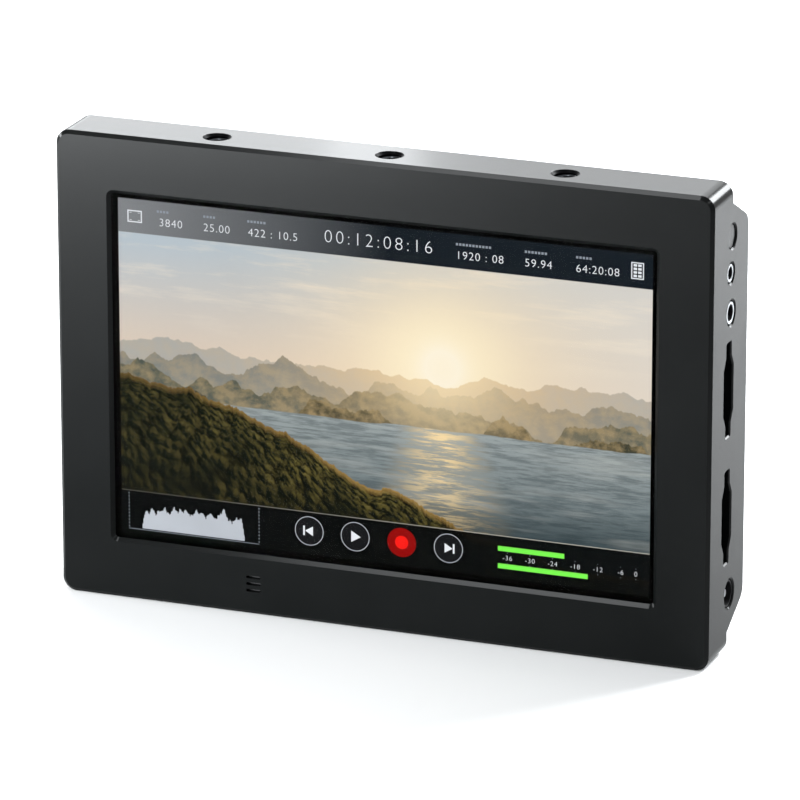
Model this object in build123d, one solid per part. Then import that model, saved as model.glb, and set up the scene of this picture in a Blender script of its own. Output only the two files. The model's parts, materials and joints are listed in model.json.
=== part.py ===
from build123d import *
import math
import os

# Recording monitor with a 7 inch touch screen.
# Millimetres. X runs to the right seen from the front, Y away from the viewer, Z up.
# The origin is the bottom centre of the outer box, so the front face lies at -depth / 2.
# A size named rise is a height above the middle of the body, and a lift is a height off a board.

# Outer form
width = 185.0
height = 130.5
depth = 30.0
body_depth = 16.2
shoulder_drop = 5.5
slope_deg = 27.2
corner_r = 3.9
front_edge = 1.0
rear_corner_r = 4.5
cheek_edge_r = 0.6

# Walls and general clearances; a cutter runs past what it cuts
side_wall = 2.0
mouth_edge = 0.4
rail = 6.5
cover_t = 2.0
window_r = 1.0
seam = 0.1
slip = 0.3
hair = 0.05
past = 1.0

# Screen and its stack of layers, from the front backwards
# The two margins leave a lit picture of 150.8 by 94.25, which is a 7 inch panel
picture_side_margin = 17.1
picture_end_margin = 18.125
screen_rise = 0.35
black_border = 1.5
bevel = 1.0
opening_r = 2.0
lip_land = 0.1
glass_lap = 3.6
tape_w = 3.0
tape_t = 0.2
glass_t = 0.7
touch_t = 0.2
panel_rim = 3.0
panel_t = 1.3
backlight_t = 2.0
chassis_t = 0.4

# Inner plate, boards and what stands on them
plate_t = 1.0
plate_gap = 1.0
plate_screw_inset = 8.5
spacer_t = 0.8
spacer_r = 2.4
board_t = 1.6
board_inset_x = 11.5
board_inset_z = 7.5
board_screw_inset = 11.5
board_screw_x = 20.0
board_screw_gap = 12.0
link_t = 1.5
link_w = 22.0
link_rise = 7.15
ribbon_w = 18.0
ribbon_t = 0.2
ribbon_len = 13.0
ribbon_inset = 9.8
ribbon_socket_h = 5.0

# Chips on the main board: middle of each from the board's middle, then its width and height
chip_t = 1.2
chip_w = 17.0
small_chips = [
    (-30.0, -8.0, 8.0, 10.5),
    (-30.0, 8.0, 8.0, 10.5),
    (-14.0, -8.0, 8.0, 10.5),
    (-14.0, 8.0, 8.0, 10.5),
    (12.0, 6.0, 14.0, 14.0),
    (8.0, -22.0, 6.0, 6.0),
    (18.0, -22.0, 6.0, 6.0),
    (28.0, -22.0, 6.0, 6.0),
    (-30.0, 36.0, 5.0, 3.0),
    (-20.0, 36.0, 5.0, 3.0),
    (20.0, 36.0, 5.0, 3.0),
    (30.0, 36.0, 5.0, 3.0),
]

# Quarter-inch camera threads in the top and bottom
thread_pitch_x = 49.0
thread_r = 3.175
thread_mouth_r = 3.9
thread_depth = 9.5
thread_setback = 8.0
thread_wall = 2.0

# Speaker behind three slots at the lower left
speaker_x = -36.3
speaker_lift = 0.7
speaker_w = 14.0
speaker_rim = 1.0
speaker_well = 0.8
speaker_front_wall = 1.6
mesh_t = 0.3
slot_w = 4.2
slot_h = 0.8
slot_pitch = 1.9
slot_count = 3

# Steps between the ports of each side, from the bottom edge up to the top edge
# Only their proportions count, because they share out the height
right_steps = (16.4, 22.3, 35.4, 20.8, 11.0, 9.8, 14.8)
left_steps = (24.0, 19.0, 23.0, 12.0, 14.0, 18.0, 20.5)

# Ports on the right side
power_lift = 3.7
power_r = 3.25
power_recess = 0.45
power_edge = 0.25
power_flange_r = 4.1
power_flange_t = 0.9
power_travel = 0.6
stem_r = 1.5
stem_len = 1.4
plunger_len = 3.4
switch_len = 5.4
switch_w = 7.0
remote_lift = 2.8
remote_bore_r = 1.28
remote_ring_r = 2.4
headphone_lift = 3.35
headphone_bore_r = 1.8
headphone_ring_r = 3.0
jack_hole_gap = 0.5
jack_recess = 0.25
jack_lead = 0.6
jack_depth = 14.0
jack_end_t = 1.0
jack_body_w = 7.6
dc_lift = 5.3
dc_nose_r = 3.7
dc_bore_r = 3.3
dc_pin_r = 1.0
dc_pin_recess = 0.7
dc_depth = 12.0
dc_end_t = 2.0
dc_body_r = 4.8

# Card slots on the right side
card_lift = 2.0
card_slot_w = 3.9
card_slot_len = 25.8
card_slot_r = 0.5
relief_w = 7.6
relief_len = 12.2
relief_taper = 3.1
card_boss = 3.0
card_boss_edge = 1.6
socket_len = 27.0
socket_wall = 1.0
card_w = 24.0
card_room = 2.8
card_side_gap = 0.4
shell_t = 0.2
slider_len = 6.0
slider_w = 2.4
slider_travel = 4.5
contact_count = 9
contact_pitch = 2.25
contact_offset = 1.8
contact_w = 1.1
contact_t = 0.15
contact_len = 9.0

# Ports on the left side
left_recess = 0.4
video_lift = 3.0
video_w = 15.0
video_h = 5.6
video_cut = 2.0
video_wall = 0.5
video_len = 11.5
video_foot = 3.0
video_hole_r = 1.0
tongue_t = 1.2
tongue_w = 9.0
tongue_recess = 1.5
coax_lift = 4.0
coax_r = 3.6
coax_bore_r = 2.6
coax_pin_r = 0.45
coax_end_t = 2.0
coax_len = 11.0
audio_setback = 15.5
audio_r = 6.0
audio_bore_r = 4.6
audio_core_r = 3.3
audio_core_recess = 1.0
audio_holes = 3
audio_hole_r = 0.7
audio_hole_ring = 1.9
audio_hole_depth = 7.0
audio_end_t = 3.0
audio_len = 16.0
audio_ear_w = 14.0
audio_ear_t = 1.2

# Side boards that carry the ports
side_board_w = 30.0
side_board_edge = 4.0
sink_board_gap = 1.5

# Pillars and screws that hold the rear cover
pillar_r = 3.0
pillar_neck_r = 2.2
pillar_inset = 20.5
pillar_edge = 20.25
pillar_side_gap = 1.6
pillar_bore_depth = 8.5
cover_screw_r = 1.2
cover_head_r = 2.4
cover_head_t = 1.2
cover_screw_len = 8.0
key_r = 0.9
key_depth = 0.8

# Small pan-head screws
pan_r = 0.95
pan_head_r = 1.9
pan_head_t = 1.0
pan_grip = 2.4
pan_tip_gap = 0.3

# Battery bays, terminals and latches
bay_gap = 8.6
bay_rise = -0.25
side_room = 47.6
end_room = 33.25
tray_t = 1.2
tray_clear = 0.8
lug_w = 4.0
lug_h = 7.0
lug_inset = 6.0
terminal_w = 16.0
terminal_t = 3.5
terminal_h = 8.5
blade_count = 4
blade_pitch = 3.6
blade_t = 0.7
blade_w = 4.5
blade_len = 3.0
latch_w = 18.8
latch_h = 8.5
latch_depth = 8.4
latch_wall = 2.0
latch_travel = 3.2
tooth_w = 10.0
tooth_t = 4.6
tooth_reach = 2.8
tooth_lead = 1.7
pad_w = 15.6
pad_h = 7.0
pad_recess = 0.4
ridge_count = 4
ridge_t = 0.5
ridge_margin = 1.0
spring_len = 6.6
spring_strip = 0.4
spring_w = 4.0
spring_inset = 2.0
spring_legs = 4

# Cooling: heat sink and fan
pad_t = 0.4
sink_w = 26.0
sink_base_t = 1.8
sink_gap = 1.6
fin_count = 9
fin_t = 0.8
fan_rise = -1.25
fan_w = 25.0
fan_t = 7.0
fan_corner_r = 2.5
duct_rim = 0.9
tip_gap = 0.5
hub_r = 5.5
fan_blades = 7
fan_blade_t = 0.7
fan_blade_deg = 38.0
motor_t = 1.6
motor_r = 5.0
arm_t = 0.8
arm_w = 1.6
arm_count = 3
arm_start_deg = 30.0
shaft_r = 0.75
bush_r = 1.8
running = 0.03
gasket_t = 1.7
fan_screw_r = 0.9
fan_head_r = 1.8
fan_head_t = 0.9
fan_screw_inset = 2.4
grille_rim = 0.6
grille_slots = 7
grille_slot_w = 2.0

# Air slots in the sloping faces of the rear cover
vent_count = 10
vent_pitch = 4.2
vent_w = 1.8
vent_len = 6.0
vent_inset = 30.5
vent_end_r = 0.8

# Clock cell on the main board
cell_r = 6.25
cell_t = 2.0
cell_lift = 0.6
cell_rise = -32.25
holder_wall = 1.25
holder_h = 2.0

# Depths, from the front face backwards
y_front = -depth / 2
y_rear = depth / 2
y_shoulder = y_front + body_depth
y_lip = y_front + bevel + lip_land
y_glass = y_lip + tape_t
y_touch = y_glass + glass_t
y_panel = y_touch + touch_t
y_backlight = y_panel + panel_t
y_chassis = y_backlight + backlight_t
y_ledge = y_chassis + chassis_t
y_plate = y_ledge + plate_t
y_board = y_plate + spacer_t
y_board_back = y_board + board_t
y_chips = y_board_back + chip_t
y_io = y_board_back + link_t
y_io_back = y_io + board_t
y_inside = y_rear - cover_t
y_thread = y_front + thread_setback

# The screen, seen from the front
x_out = width / 2
x_in = x_out - side_wall
z_mid = height / 2
screen_z = z_mid + screen_rise
active_w = width - 2 * picture_side_margin
active_h = height - 2 * picture_end_margin
opening_w = active_w + 2 * (black_border + bevel)
opening_h = active_h + 2 * (black_border + bevel)
inner_w = opening_w - 2 * bevel
inner_h = opening_h - 2 * bevel
glass_w = inner_w + 2 * glass_lap
glass_h = inner_h + 2 * glass_lap
panel_w = active_w + 2 * panel_rim
panel_h = active_h + 2 * panel_rim
lower_border = screen_z - opening_h / 2
speaker_h = lower_border / 2
speaker_z = lower_border / 2 + speaker_lift


def share_out(steps):
    """Heights of a column of ports from the steps between them, shared out over the height."""
    return [height * sum(steps[: k + 1]) / sum(steps) for k in range(len(steps) - 1)]


# The ports
y_card = y_io_back + card_lift
y_power = y_io_back + power_lift
y_dc = y_io_back + dc_lift
y_video = y_io_back + video_lift
y_coax = y_io_back + coax_lift
y_audio = y_front + audio_setback
right_z = share_out(right_steps)
dc_z = right_z[0]
card_z = (right_z[2], right_z[1])
headphone_z, remote_z, power_z = right_z[3:]
left_z = share_out(left_steps)
audio_z = (left_z[1], left_z[0])
coax_z = (left_z[3], left_z[2])
video_z = (left_z[5], left_z[4])
x_boss = x_in - card_boss
x_socket = x_boss - seam
x_board = x_boss - slip
button_back = x_in - slip / 2
stem_end = button_back - power_flange_t - stem_len
dc_mouth = x_out - 2 * jack_recess
jack_mouth = x_out - jack_recess
# Depth, height, ring radius and bore radius of the headphone jack and of the remote jack
jacks = [
    (y_io_back + headphone_lift, headphone_z, headphone_ring_r, headphone_bore_r),
    (y_io_back + remote_lift, remote_z, remote_ring_r, remote_bore_r),
]

# Pillars, one between the two card slots and its twin on the left
link_z = sum(card_z) / 2
pillar_x = x_in - pillar_inset
pillar_side = x_boss - pillar_r - pillar_side_gap
pillars = [(sx * pillar_x, z) for sx in (-1, 1) for z in (pillar_edge, height - pillar_edge)]
pillars += [(0, pillar_edge), (0, height - pillar_edge)]
pillars += [(-pillar_side, link_z), (pillar_side, link_z)]
ribbon_z = screen_z - panel_h / 2 + ribbon_inset

# Battery bays and latches
tray_out = width / 2 - side_room
bay_w = tray_out - tray_t - bay_gap / 2
bay_len = height - 2 * end_room
bay_x = (-(bay_gap + bay_w) / 2, (bay_gap + bay_w) / 2)
bay_z = (z_mid + bay_rise - bay_len / 2, z_mid + bay_rise + bay_len / 2)
y_bay = y_chips + tray_clear + tray_t
latch_y = (y_inside - slip - latch_depth, y_inside - slip)
latch_z = (bay_z[1] + tray_t + slip, bay_z[1] + tray_t + slip + latch_h)
y_tooth = sum(latch_y) / 2
pad_z = (latch_z[0] + (latch_h - pad_h) / 2, latch_z[1] - (latch_h - pad_h) / 2)
spring_top = latch_z[1] + spring_len

# Fan and heat sink
sink_x = -(tray_out + sink_gap + sink_w / 2)
duct_r = fan_w / 2 - duct_rim
left_board_w = x_board - tray_out - sink_gap - sink_w - sink_board_gap
fan_z = z_mid + fan_rise
y_sink = y_chips + pad_t
y_fins = y_sink + sink_base_t
y_fan = y_inside - gasket_t - fan_t
y_fan_back = y_fan + fan_t


def block(x, y, z):
    """A box between the two limits given for each axis."""
    sizes = (x[1] - x[0], y[1] - y[0], z[1] - z[0])
    return Pos((x[0] + x[1]) / 2, (y[0] + y[1]) / 2, (z[0] + z[1]) / 2) * Box(*sizes)


def span(middle, size):
    """The two limits of a size about its middle."""
    return (middle - size / 2, middle + size / 2)


def wider(limits):
    """Two limits, each moved out so that a cutter runs past both."""
    return (limits[0] - past, limits[1] + past)


def rod_x(r, x, y, z):
    return Pos((x[0] + x[1]) / 2, y, z) * Rot(0, 90, 0) * Cylinder(r, x[1] - x[0])


def rod_y(r, x, y, z):
    return Pos(x, (y[0] + y[1]) / 2, z) * Rot(90, 0, 0) * Cylinder(r, y[1] - y[0])


def rod_z(r, x, y, z):
    return Pos(x, y, (z[0] + z[1]) / 2) * Cylinder(r, z[1] - z[0])


def cone_y(r0, r1, x, y, z):
    """A cone along Y that has radius r0 at y[0] and r1 at y[1]."""
    return Pos(x, (y[0] + y[1]) / 2, z) * Rot(-90, 0, 0) * Cone(r0, r1, y[1] - y[0])


def slab(sketch, y):
    """Extrude a sketch, drawn in X and Z, between two depths."""
    plane = Plane((0, y[1], 0), x_dir=(1, 0, 0), z_dir=(0, -1, 0))
    return extrude(plane * sketch, amount=y[1] - y[0])


def prism_x(sketch, x):
    """Extrude a sketch, drawn in Y and Z, between two X places."""
    plane = Plane((x[0], 0, 0), x_dir=(0, 1, 0), z_dir=(1, 0, 0))
    return extrude(plane * sketch, amount=x[1] - x[0])


def rounded(w, h, r, x, z):
    """A rounded rectangle about a place in X and Z."""
    return Pos(x, z) * RectangleRounded(w, h, r)


def pill(w, h, x, z):
    """A slot with round ends, except for a sliver of straight side."""
    return rounded(w, h, min(w, h) / 2 - hair, x, z)


def row(count, pitch):
    """Places of a row of things about its middle."""
    return [(k - (count - 1) / 2) * pitch for k in range(count)]


def slope_z(y, inset):
    """Height of the upper sloping face at depth y, pulled in by inset."""
    slope = math.radians(slope_deg)
    fall = (y - y_shoulder) * math.tan(slope)
    return height - shoulder_drop - fall - inset / math.cos(slope)


def back_outline(y_start, inset):
    """Side outline of the thick back, with its two rear corners rounded."""
    y_back = y_rear - inset
    top = [(y_start, slope_z(y_start, inset)), (y_back, slope_z(y_back, inset))]
    low = [(y, height - z) for y, z in reversed(top)]
    face = make_face(Polyline(*top, *low, close=True))
    corners = face.vertices().sort_by(Axis.X)[-2:]
    return fillet(corners, rear_corner_r - inset)


def thread_hole(x, up):
    """Cutter for a blind camera thread with a countersunk mouth: up is 1 in the top, -1 in the bottom."""
    mouth = height if up > 0 else 0
    sink = thread_mouth_r - thread_r
    hole = rod_z(thread_r, x, y_thread, sorted((mouth + up * past, mouth - up * thread_depth)))
    radii = (thread_r, thread_mouth_r) if up > 0 else (thread_mouth_r, thread_r)
    return hole + Pos(x, y_thread, mouth - up * sink / 2) * Cone(*radii, sink)


def thread_boss(x, up):
    """Block of metal round a camera thread, behind the screen's ledge."""
    reach = thread_depth + thread_wall
    z = (height - reach, height - rail + past) if up > 0 else (rail - past, reach)
    y = (y_ledge - past, y_thread + thread_r + thread_wall)
    return block(span(x, 2 * (thread_r + thread_wall)), y, z)


def card_sketch():
    """Outline of a card slot in Y and Z: a narrow slot with a wider finger relief in its middle."""
    half, full = card_slot_w / 2, relief_w / 2
    inner, outer = relief_len / 2, relief_len / 2 + relief_taper
    right = [(half, outer), (full, inner), (full, -inner), (half, -outer)]
    left = [(-y, -z) for y, z in right]
    relief = make_face(Polyline(*right, *left, close=True))
    return RectangleRounded(card_slot_w, card_slot_len, card_slot_r) + relief


def plate_screws():
    """Middle of each screw that holds the inner plate, in X and Z."""
    x = (glass_w / 2 + slip + x_in) / 2
    inset = rail + plate_screw_inset
    return [(sx * x, z) for sx in (-1, 1) for z in (inset, z_mid, height - inset)]


def board_screws():
    """Middle of each screw that holds the main board, in X and Z."""
    inset = rail + board_screw_inset
    outer = pillar_x - board_screw_gap
    return [(x, z) for x in (-outer, -board_screw_x, board_screw_x, outer) for z in (inset, height - inset)]


def tray_screws():
    """Middle of each screw that holds the battery tray, in X and Z."""
    x = tray_out + lug_w / 2
    return [(sx * x, z) for sx in (-1, 1) for z in (bay_z[0] + lug_inset, bay_z[1] - lug_inset)]


def make_housing():
    """One-piece metal body: front, ledge for the glass, rails and two full-depth cheeks."""
    body = slab(rounded(width, height, corner_r, 0, z_mid), (y_front, y_shoulder))
    body = chamfer(body.faces().sort_by(Axis.Y)[0].edges(), front_edge)
    buried = y_shoulder - past
    back = prism_x(back_outline(buried, 0), (-x_out, x_out))
    sides = back.edges().filter_by(lambda e: abs(abs(e.center().X) - x_out) < hair)
    body += fillet(sides.filter_by(lambda e: e.center().Y > buried + hair), cheek_edge_r)

    body -= block((-x_in, x_in), (y_ledge, y_shoulder + past), (rail, height - rail))
    body -= block((-x_in, x_in), (y_shoulder, y_rear + past), wider((0, height)))
    body = add_bosses(body) - screen_opening() - speaker_room()
    for x, z in plate_screws():
        body -= rod_y(pan_r, x, (y_plate - pan_grip - pan_tip_gap, y_ledge + past), z)
    return body - right_ports() - left_ports()


def add_bosses(body):
    """Camera threads in their bosses, and the thick wall round the card slots."""
    places = [(x, up) for up in (1, -1) for x in (-thread_pitch_x, 0, thread_pitch_x)]
    for x, up in places:
        body += thread_boss(x, up)
    reach = card_slot_len / 2 + card_boss_edge
    thick = (min(card_z) - reach, max(card_z) + reach)
    body += block((x_boss, x_in + hair), span(y_card, relief_w + 2 * card_boss_edge), thick)
    for x, up in places:
        body -= thread_hole(x, up)
    return body


def screen_opening():
    """Cutter for the bevelled opening and the pocket behind it that holds the glass."""
    front = Plane((0, y_front, screen_z), x_dir=(1, 0, 0), z_dir=(0, 1, 0))
    cut = extrude(front * RectangleRounded(opening_w, opening_h, opening_r), amount=bevel, taper=45)
    cut += slab(rounded(inner_w, inner_h, opening_r - bevel, 0, screen_z), (y_front, y_ledge + past))
    pocket = rounded(glass_w + 2 * slip, glass_h + 2 * slip, opening_r / 2, 0, screen_z)
    return cut + slab(pocket, (y_lip, y_ledge + past))


def speaker_room():
    """Cutter for the speaker's pocket and the slots in front of it."""
    y = (y_front + speaker_front_wall, y_ledge + past)
    cut = block(span(speaker_x, speaker_w + 2 * slip), y, span(speaker_z, speaker_h + 2 * slip))
    for dz in row(slot_count, slot_pitch):
        cut += slab(pill(slot_w, slot_h, speaker_x, speaker_z + dz), wider((y_front, y[0])))
    return cut


def side_hole(outline, y, z, side):
    """Cutter for a hole through a side wall, with a small chamfer at its mouth. Side is 1 or -1."""
    mouth = Plane((side * x_out, y, z), x_dir=(0, 1, 0), z_dir=(-side, 0, 0))
    cut = extrude(mouth * offset(outline, mouth_edge), amount=mouth_edge, taper=45)
    return cut + prism_x(Pos(y, z) * outline, sorted((side * (x_boss - past), side * (x_out + past))))


def right_ports():
    """Cutters for everything on the right side."""
    cuts = [side_hole(Circle(power_r + slip / 2), y_power, power_z, 1)]
    cuts.append(side_hole(Circle(dc_nose_r + slip), y_dc, dc_z, 1))
    cuts += [side_hole(Circle(ring_r + jack_hole_gap), y, z, 1) for y, z, ring_r, _ in jacks]
    cuts += [side_hole(card_sketch(), y_card, z, 1) for z in card_z]
    return Part() + cuts


def left_ports():
    """Cutters for everything on the left side."""
    cuts = [side_hole(Circle(coax_r + slip), y_coax, z, -1) for z in coax_z]
    cuts += [side_hole(Circle(audio_r + seam), y_audio, z, -1) for z in audio_z]
    outline = RectangleRounded(video_h + 2 * slip, video_w + 2 * slip, video_hole_r)
    cuts += [side_hole(outline, y_video, z, -1) for z in video_z]
    return Part() + cuts


def make_rear_cover():
    """Moulded cover between the two cheeks, with windows, a fan grille, air slots and countersinks."""
    ends = (seam - x_in, x_in - seam)
    start = y_shoulder - 4 * cover_t
    cover = prism_x(back_outline(start, 0), ends)
    cover -= prism_x(back_outline(start - past, cover_t), wider(ends))
    cover -= block(wider(ends), (start - 2 * past, y_shoulder + seam), wider((0, height)))
    wall = wider((y_inside, y_rear))
    for x in bay_x:
        cover -= slab(rounded(bay_w, bay_len, window_r, x, sum(bay_z) / 2), wall)
        window = (pad_z[0] - slip, pad_z[1] + latch_travel + slip)
        window_size = (pad_w + 2 * slip, window[1] - window[0], window_r)
        cover -= slab(rounded(*window_size, x, sum(window) / 2), wall)
    for x, z in pillars:
        cover -= rod_y(cover_screw_r + slip / 2, x, wall, z)
        cover -= cone_y(cover_screw_r, cover_head_r + hair, x, (y_rear - cover_head_t, y_rear), z)
    for x, z in tray_screws():
        cover -= rod_y(pan_r, x, (y_inside - past, y_inside - tray_t + pan_grip + seam), z)
    return cover - fan_grille(wall) - air_slots()


def fan_grille(wall):
    """Cutters for the slots of the round grille over the fan."""
    grille_r = duct_r - grille_rim
    cuts = []
    for dz in row(grille_slots, 2 * grille_r / grille_slots):
        half = math.sqrt(grille_r**2 - (abs(dz) + grille_slot_w / 2) ** 2)
        cuts.append(slab(pill(2 * half, grille_slot_w, sink_x, fan_z + dz), wall))
    return Part() + cuts


def air_slots():
    """Cutters for the rows of slots in the two sloping faces."""
    y = (y_shoulder + y_rear - rear_corner_r) / 2
    slot = extrude(RectangleRounded(vent_w, vent_len, vent_end_r), amount=2 * cover_t, both=True)
    cuts = []
    for up, z in ((1, slope_z(y, 0)), (-1, height - slope_z(y, 0))):
        for side in (-1, 1):
            for dx in row(vent_count, vent_pitch):
                x = side * (x_in - vent_inset) + dx
                cuts.append(Pos(x, y, z) * Rot(-up * slope_deg, 0, 0) * slot)
    return Part() + cuts


def layer(w, h, y0, t):
    """A flat layer of the screen stack."""
    return slab(rounded(w, h, opening_r / 2, 0, screen_z), (y0, y0 + t))


def make_tape():
    """Adhesive frame between the lip of the housing and the glass."""
    frame = layer(glass_w, glass_h, y_lip, tape_t)
    hole = (span(0, glass_w - 2 * tape_w), span(screen_z, glass_h - 2 * tape_w))
    return frame - block(hole[0], wider((y_lip, y_glass)), hole[1])


def make_chassis():
    """Shallow folded metal tray that holds the back light and the panel."""
    inner = (panel_w + slip, panel_h + slip)
    wall = 2 * chassis_t
    tray = layer(inner[0] + wall, inner[1] + wall, y_panel + slip, y_ledge - y_panel - slip)
    return tray - block(span(0, inner[0]), (y_panel, y_chassis), span(screen_z, inner[1]))


def make_mid_frame():
    """Inner plate behind the display, notched round the camera threads, the speaker and the ribbon."""
    gap = rail + plate_gap
    plate = block(span(0, 2 * (x_in - plate_gap)), (y_ledge, y_plate), (gap, height - gap))
    through = wider((y_ledge, y_plate))
    notch_w = 2 * (thread_r + thread_wall) + plate_gap
    reach = thread_depth + thread_wall + plate_gap / 2
    for x in (-thread_pitch_x, 0, thread_pitch_x):
        plate -= block(span(x, notch_w), through, (0, reach))
        plate -= block(span(x, notch_w), through, (height - reach, height))
    speaker_top = speaker_z + speaker_h / 2 + plate_gap
    plate -= block(span(speaker_x, speaker_w + 2 * plate_gap), through, (0, speaker_top))
    window = (ribbon_z - plate_gap, ribbon_z + ribbon_len + 2 * plate_gap)
    plate -= block(span(0, ribbon_w + 2 * plate_gap), through, window)
    for x, z in plate_screws():
        plate -= rod_y(pan_r + seam, x, through, z)
    for x, z in board_screws():
        plate -= rod_y(pan_r, x, through, z)
    return plate


def make_ribbon():
    return block(span(0, ribbon_w), (y_ledge, y_ledge + ribbon_t), (ribbon_z, ribbon_z + ribbon_len))


def pan_screw(x, y, z, way):
    """Pan-head screw with its head's seat at y; the shank runs along way, which is 1 or -1 along Y."""
    head = rod_y(pan_head_r, x, sorted((y, y - way * pan_head_t)), z)
    shank = rod_y(pan_r - hair, x, sorted((y - way * hair, y + way * pan_grip)), z)
    top = y - way * pan_head_t
    return head + shank - rod_y(key_r, x, sorted((top + way * pan_head_t / 2, top - way * past)), z)


def make_pan_screws():
    screws = [pan_screw(x, y_plate, z, -1) for x, z in plate_screws()]
    screws += [pan_screw(x, y_board_back, z, -1) for x, z in board_screws()]
    screws += [pan_screw(x, y_inside - tray_t, z, 1) for x, z in tray_screws()]
    return screws


def make_spacers():
    spacers = []
    for x, z in board_screws():
        spacer = rod_y(spacer_r, x, (y_plate, y_board), z)
        spacers.append(spacer - rod_y(pan_r + hair, x, wider((y_plate, y_board)), z))
    return spacers


def make_main_board():
    x = x_in - board_inset_x
    z = rail + board_inset_z
    board = block((-x, x), (y_board, y_board_back), (z, height - z))
    through = wider((y_board, y_board_back))
    for px, pz in pillars:
        board -= rod_y(pillar_r + slip, px, through, pz)
    for px, pz in board_screws():
        board -= rod_y(pan_r + hair, px, through, pz)
    return board


def make_board_parts():
    """Chips on the main board, and the connectors to the side boards and the display ribbon."""
    flat = (y_board_back, y_chips)
    parts = [block(span(sink_x, chip_w), flat, span(fan_z, chip_w))]
    parts += [block(span(x, w), flat, span(z_mid + dz, h)) for x, dz, w, h in small_chips]
    link_z_span = span(z_mid + link_rise, link_w)
    overlap = x_in - board_inset_x - (x_board - left_board_w)
    left = -(x_board - left_board_w + overlap / 2)
    right = x_board - side_board_w + overlap
    for x in (left, right):
        parts.append(block(span(x, overlap - 2 * slip), (y_board_back, y_io), link_z_span))
    socket_z = span(ribbon_z + ribbon_len - ribbon_socket_h / 2, ribbon_socket_h)
    parts.append(block(span(0, ribbon_w), (y_ledge + ribbon_t + hair, y_board), socket_z))
    return parts


def make_cell():
    seat = y_board_back + cell_lift
    return rod_y(cell_r, sink_x, (seat, seat + cell_t), z_mid + cell_rise)


def make_cell_holder():
    z = z_mid + cell_rise
    size = 2 * (cell_r + holder_wall)
    holder = block(span(sink_x, size), (y_board_back, y_board_back + holder_h), span(z, size))
    seat = y_board_back + cell_lift
    return holder - rod_y(cell_r + seam, sink_x, (seat, seat + cell_t + holder_h), z)


def make_heat_sink():
    sink = block(span(sink_x, sink_w), (y_sink, y_fins), span(fan_z, sink_w))
    for dx in row(fin_count, (sink_w - fin_t) / (fin_count - 1)):
        sink += block(span(sink_x + dx, fin_t), (y_fins - hair, y_fan), span(fan_z, sink_w))
    return sink


def fan_corners():
    """Middle of each of the fan's corner screws, in X and Z."""
    reach = fan_w / 2 - fan_screw_inset
    return [(sink_x + sx * reach, fan_z + sz * reach) for sx in (-1, 1) for sz in (-1, 1)]


def make_fan_frame():
    """Square duct with a motor seat carried on arms."""
    duct = rod_y(duct_r, sink_x, wider((y_fan, y_fan_back)), fan_z)
    frame = slab(rounded(fan_w, fan_w, fan_corner_r, sink_x, fan_z), (y_fan, y_fan_back)) - duct
    frame += rod_y(motor_r, sink_x, (y_fan, y_fan + motor_t), fan_z)
    reach = (duct_r + fan_w / 2) / 2
    for k in range(arm_count):
        turn = Pos(sink_x, y_fan + arm_t / 2, fan_z) * Rot(0, 360 / arm_count * k + arm_start_deg, 0)
        frame += turn * Pos(reach / 2, 0, 0) * Box(reach, arm_t, arm_w)
    frame -= rod_y(bush_r, sink_x, wider((y_fan, y_fan + motor_t)), fan_z)
    for x, z in fan_corners():
        frame -= rod_y(fan_screw_r + seam, x, wider((y_fan, y_fan_back)), z)
    return frame


def make_fan_bush():
    reach = (y_fan, y_fan + motor_t)
    return rod_y(bush_r, sink_x, reach, fan_z) - rod_y(shaft_r + running, sink_x, wider(reach), fan_z)


def make_fan_rotor():
    """Hub, blades and shaft of the fan."""
    y = (y_fan + motor_t + slip, y_fan_back - slip)
    tip_r = duct_r - tip_gap
    reach = tip_r - hub_r + 2 * past
    blades = []
    for k in range(fan_blades):
        turn = Rot(0, 360 / fan_blades * k, 0) * Pos((hub_r + tip_r) / 2, 0, 0) * Rot(fan_blade_deg, 0, 0)
        blades.append(Pos(sink_x, sum(y) / 2, fan_z) * turn * Box(reach, y[1] - y[0], fan_blade_t))
    swept = rod_y(tip_r, sink_x, y, fan_z)
    rotor = rod_y(hub_r, sink_x, y, fan_z) + (Part() + blades) & swept
    return rotor + rod_y(shaft_r, sink_x, (y_fan + seam, y[0] + past), fan_z)


def make_fan_screws():
    """Long screws through the fan's corners, with flat heads in the gasket's holes."""
    screws = []
    for x, z in fan_corners():
        shank = rod_y(fan_screw_r - hair, x, (y_fan + hair, y_fan_back + hair), z)
        screws.append(shank + rod_y(fan_head_r, x, (y_fan_back, y_fan_back + fan_head_t), z))
    return screws


def make_fan_gasket():
    """Foam ring that seals the fan to the rear cover."""
    y = (y_fan_back, y_inside)
    ring = slab(rounded(fan_w, fan_w, fan_corner_r, sink_x, fan_z), y)
    ring -= rod_y(duct_r, sink_x, wider(y), fan_z)
    for x, z in fan_corners():
        ring -= rod_y(fan_head_r + seam, x, wider(y), z)
    return ring


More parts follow.
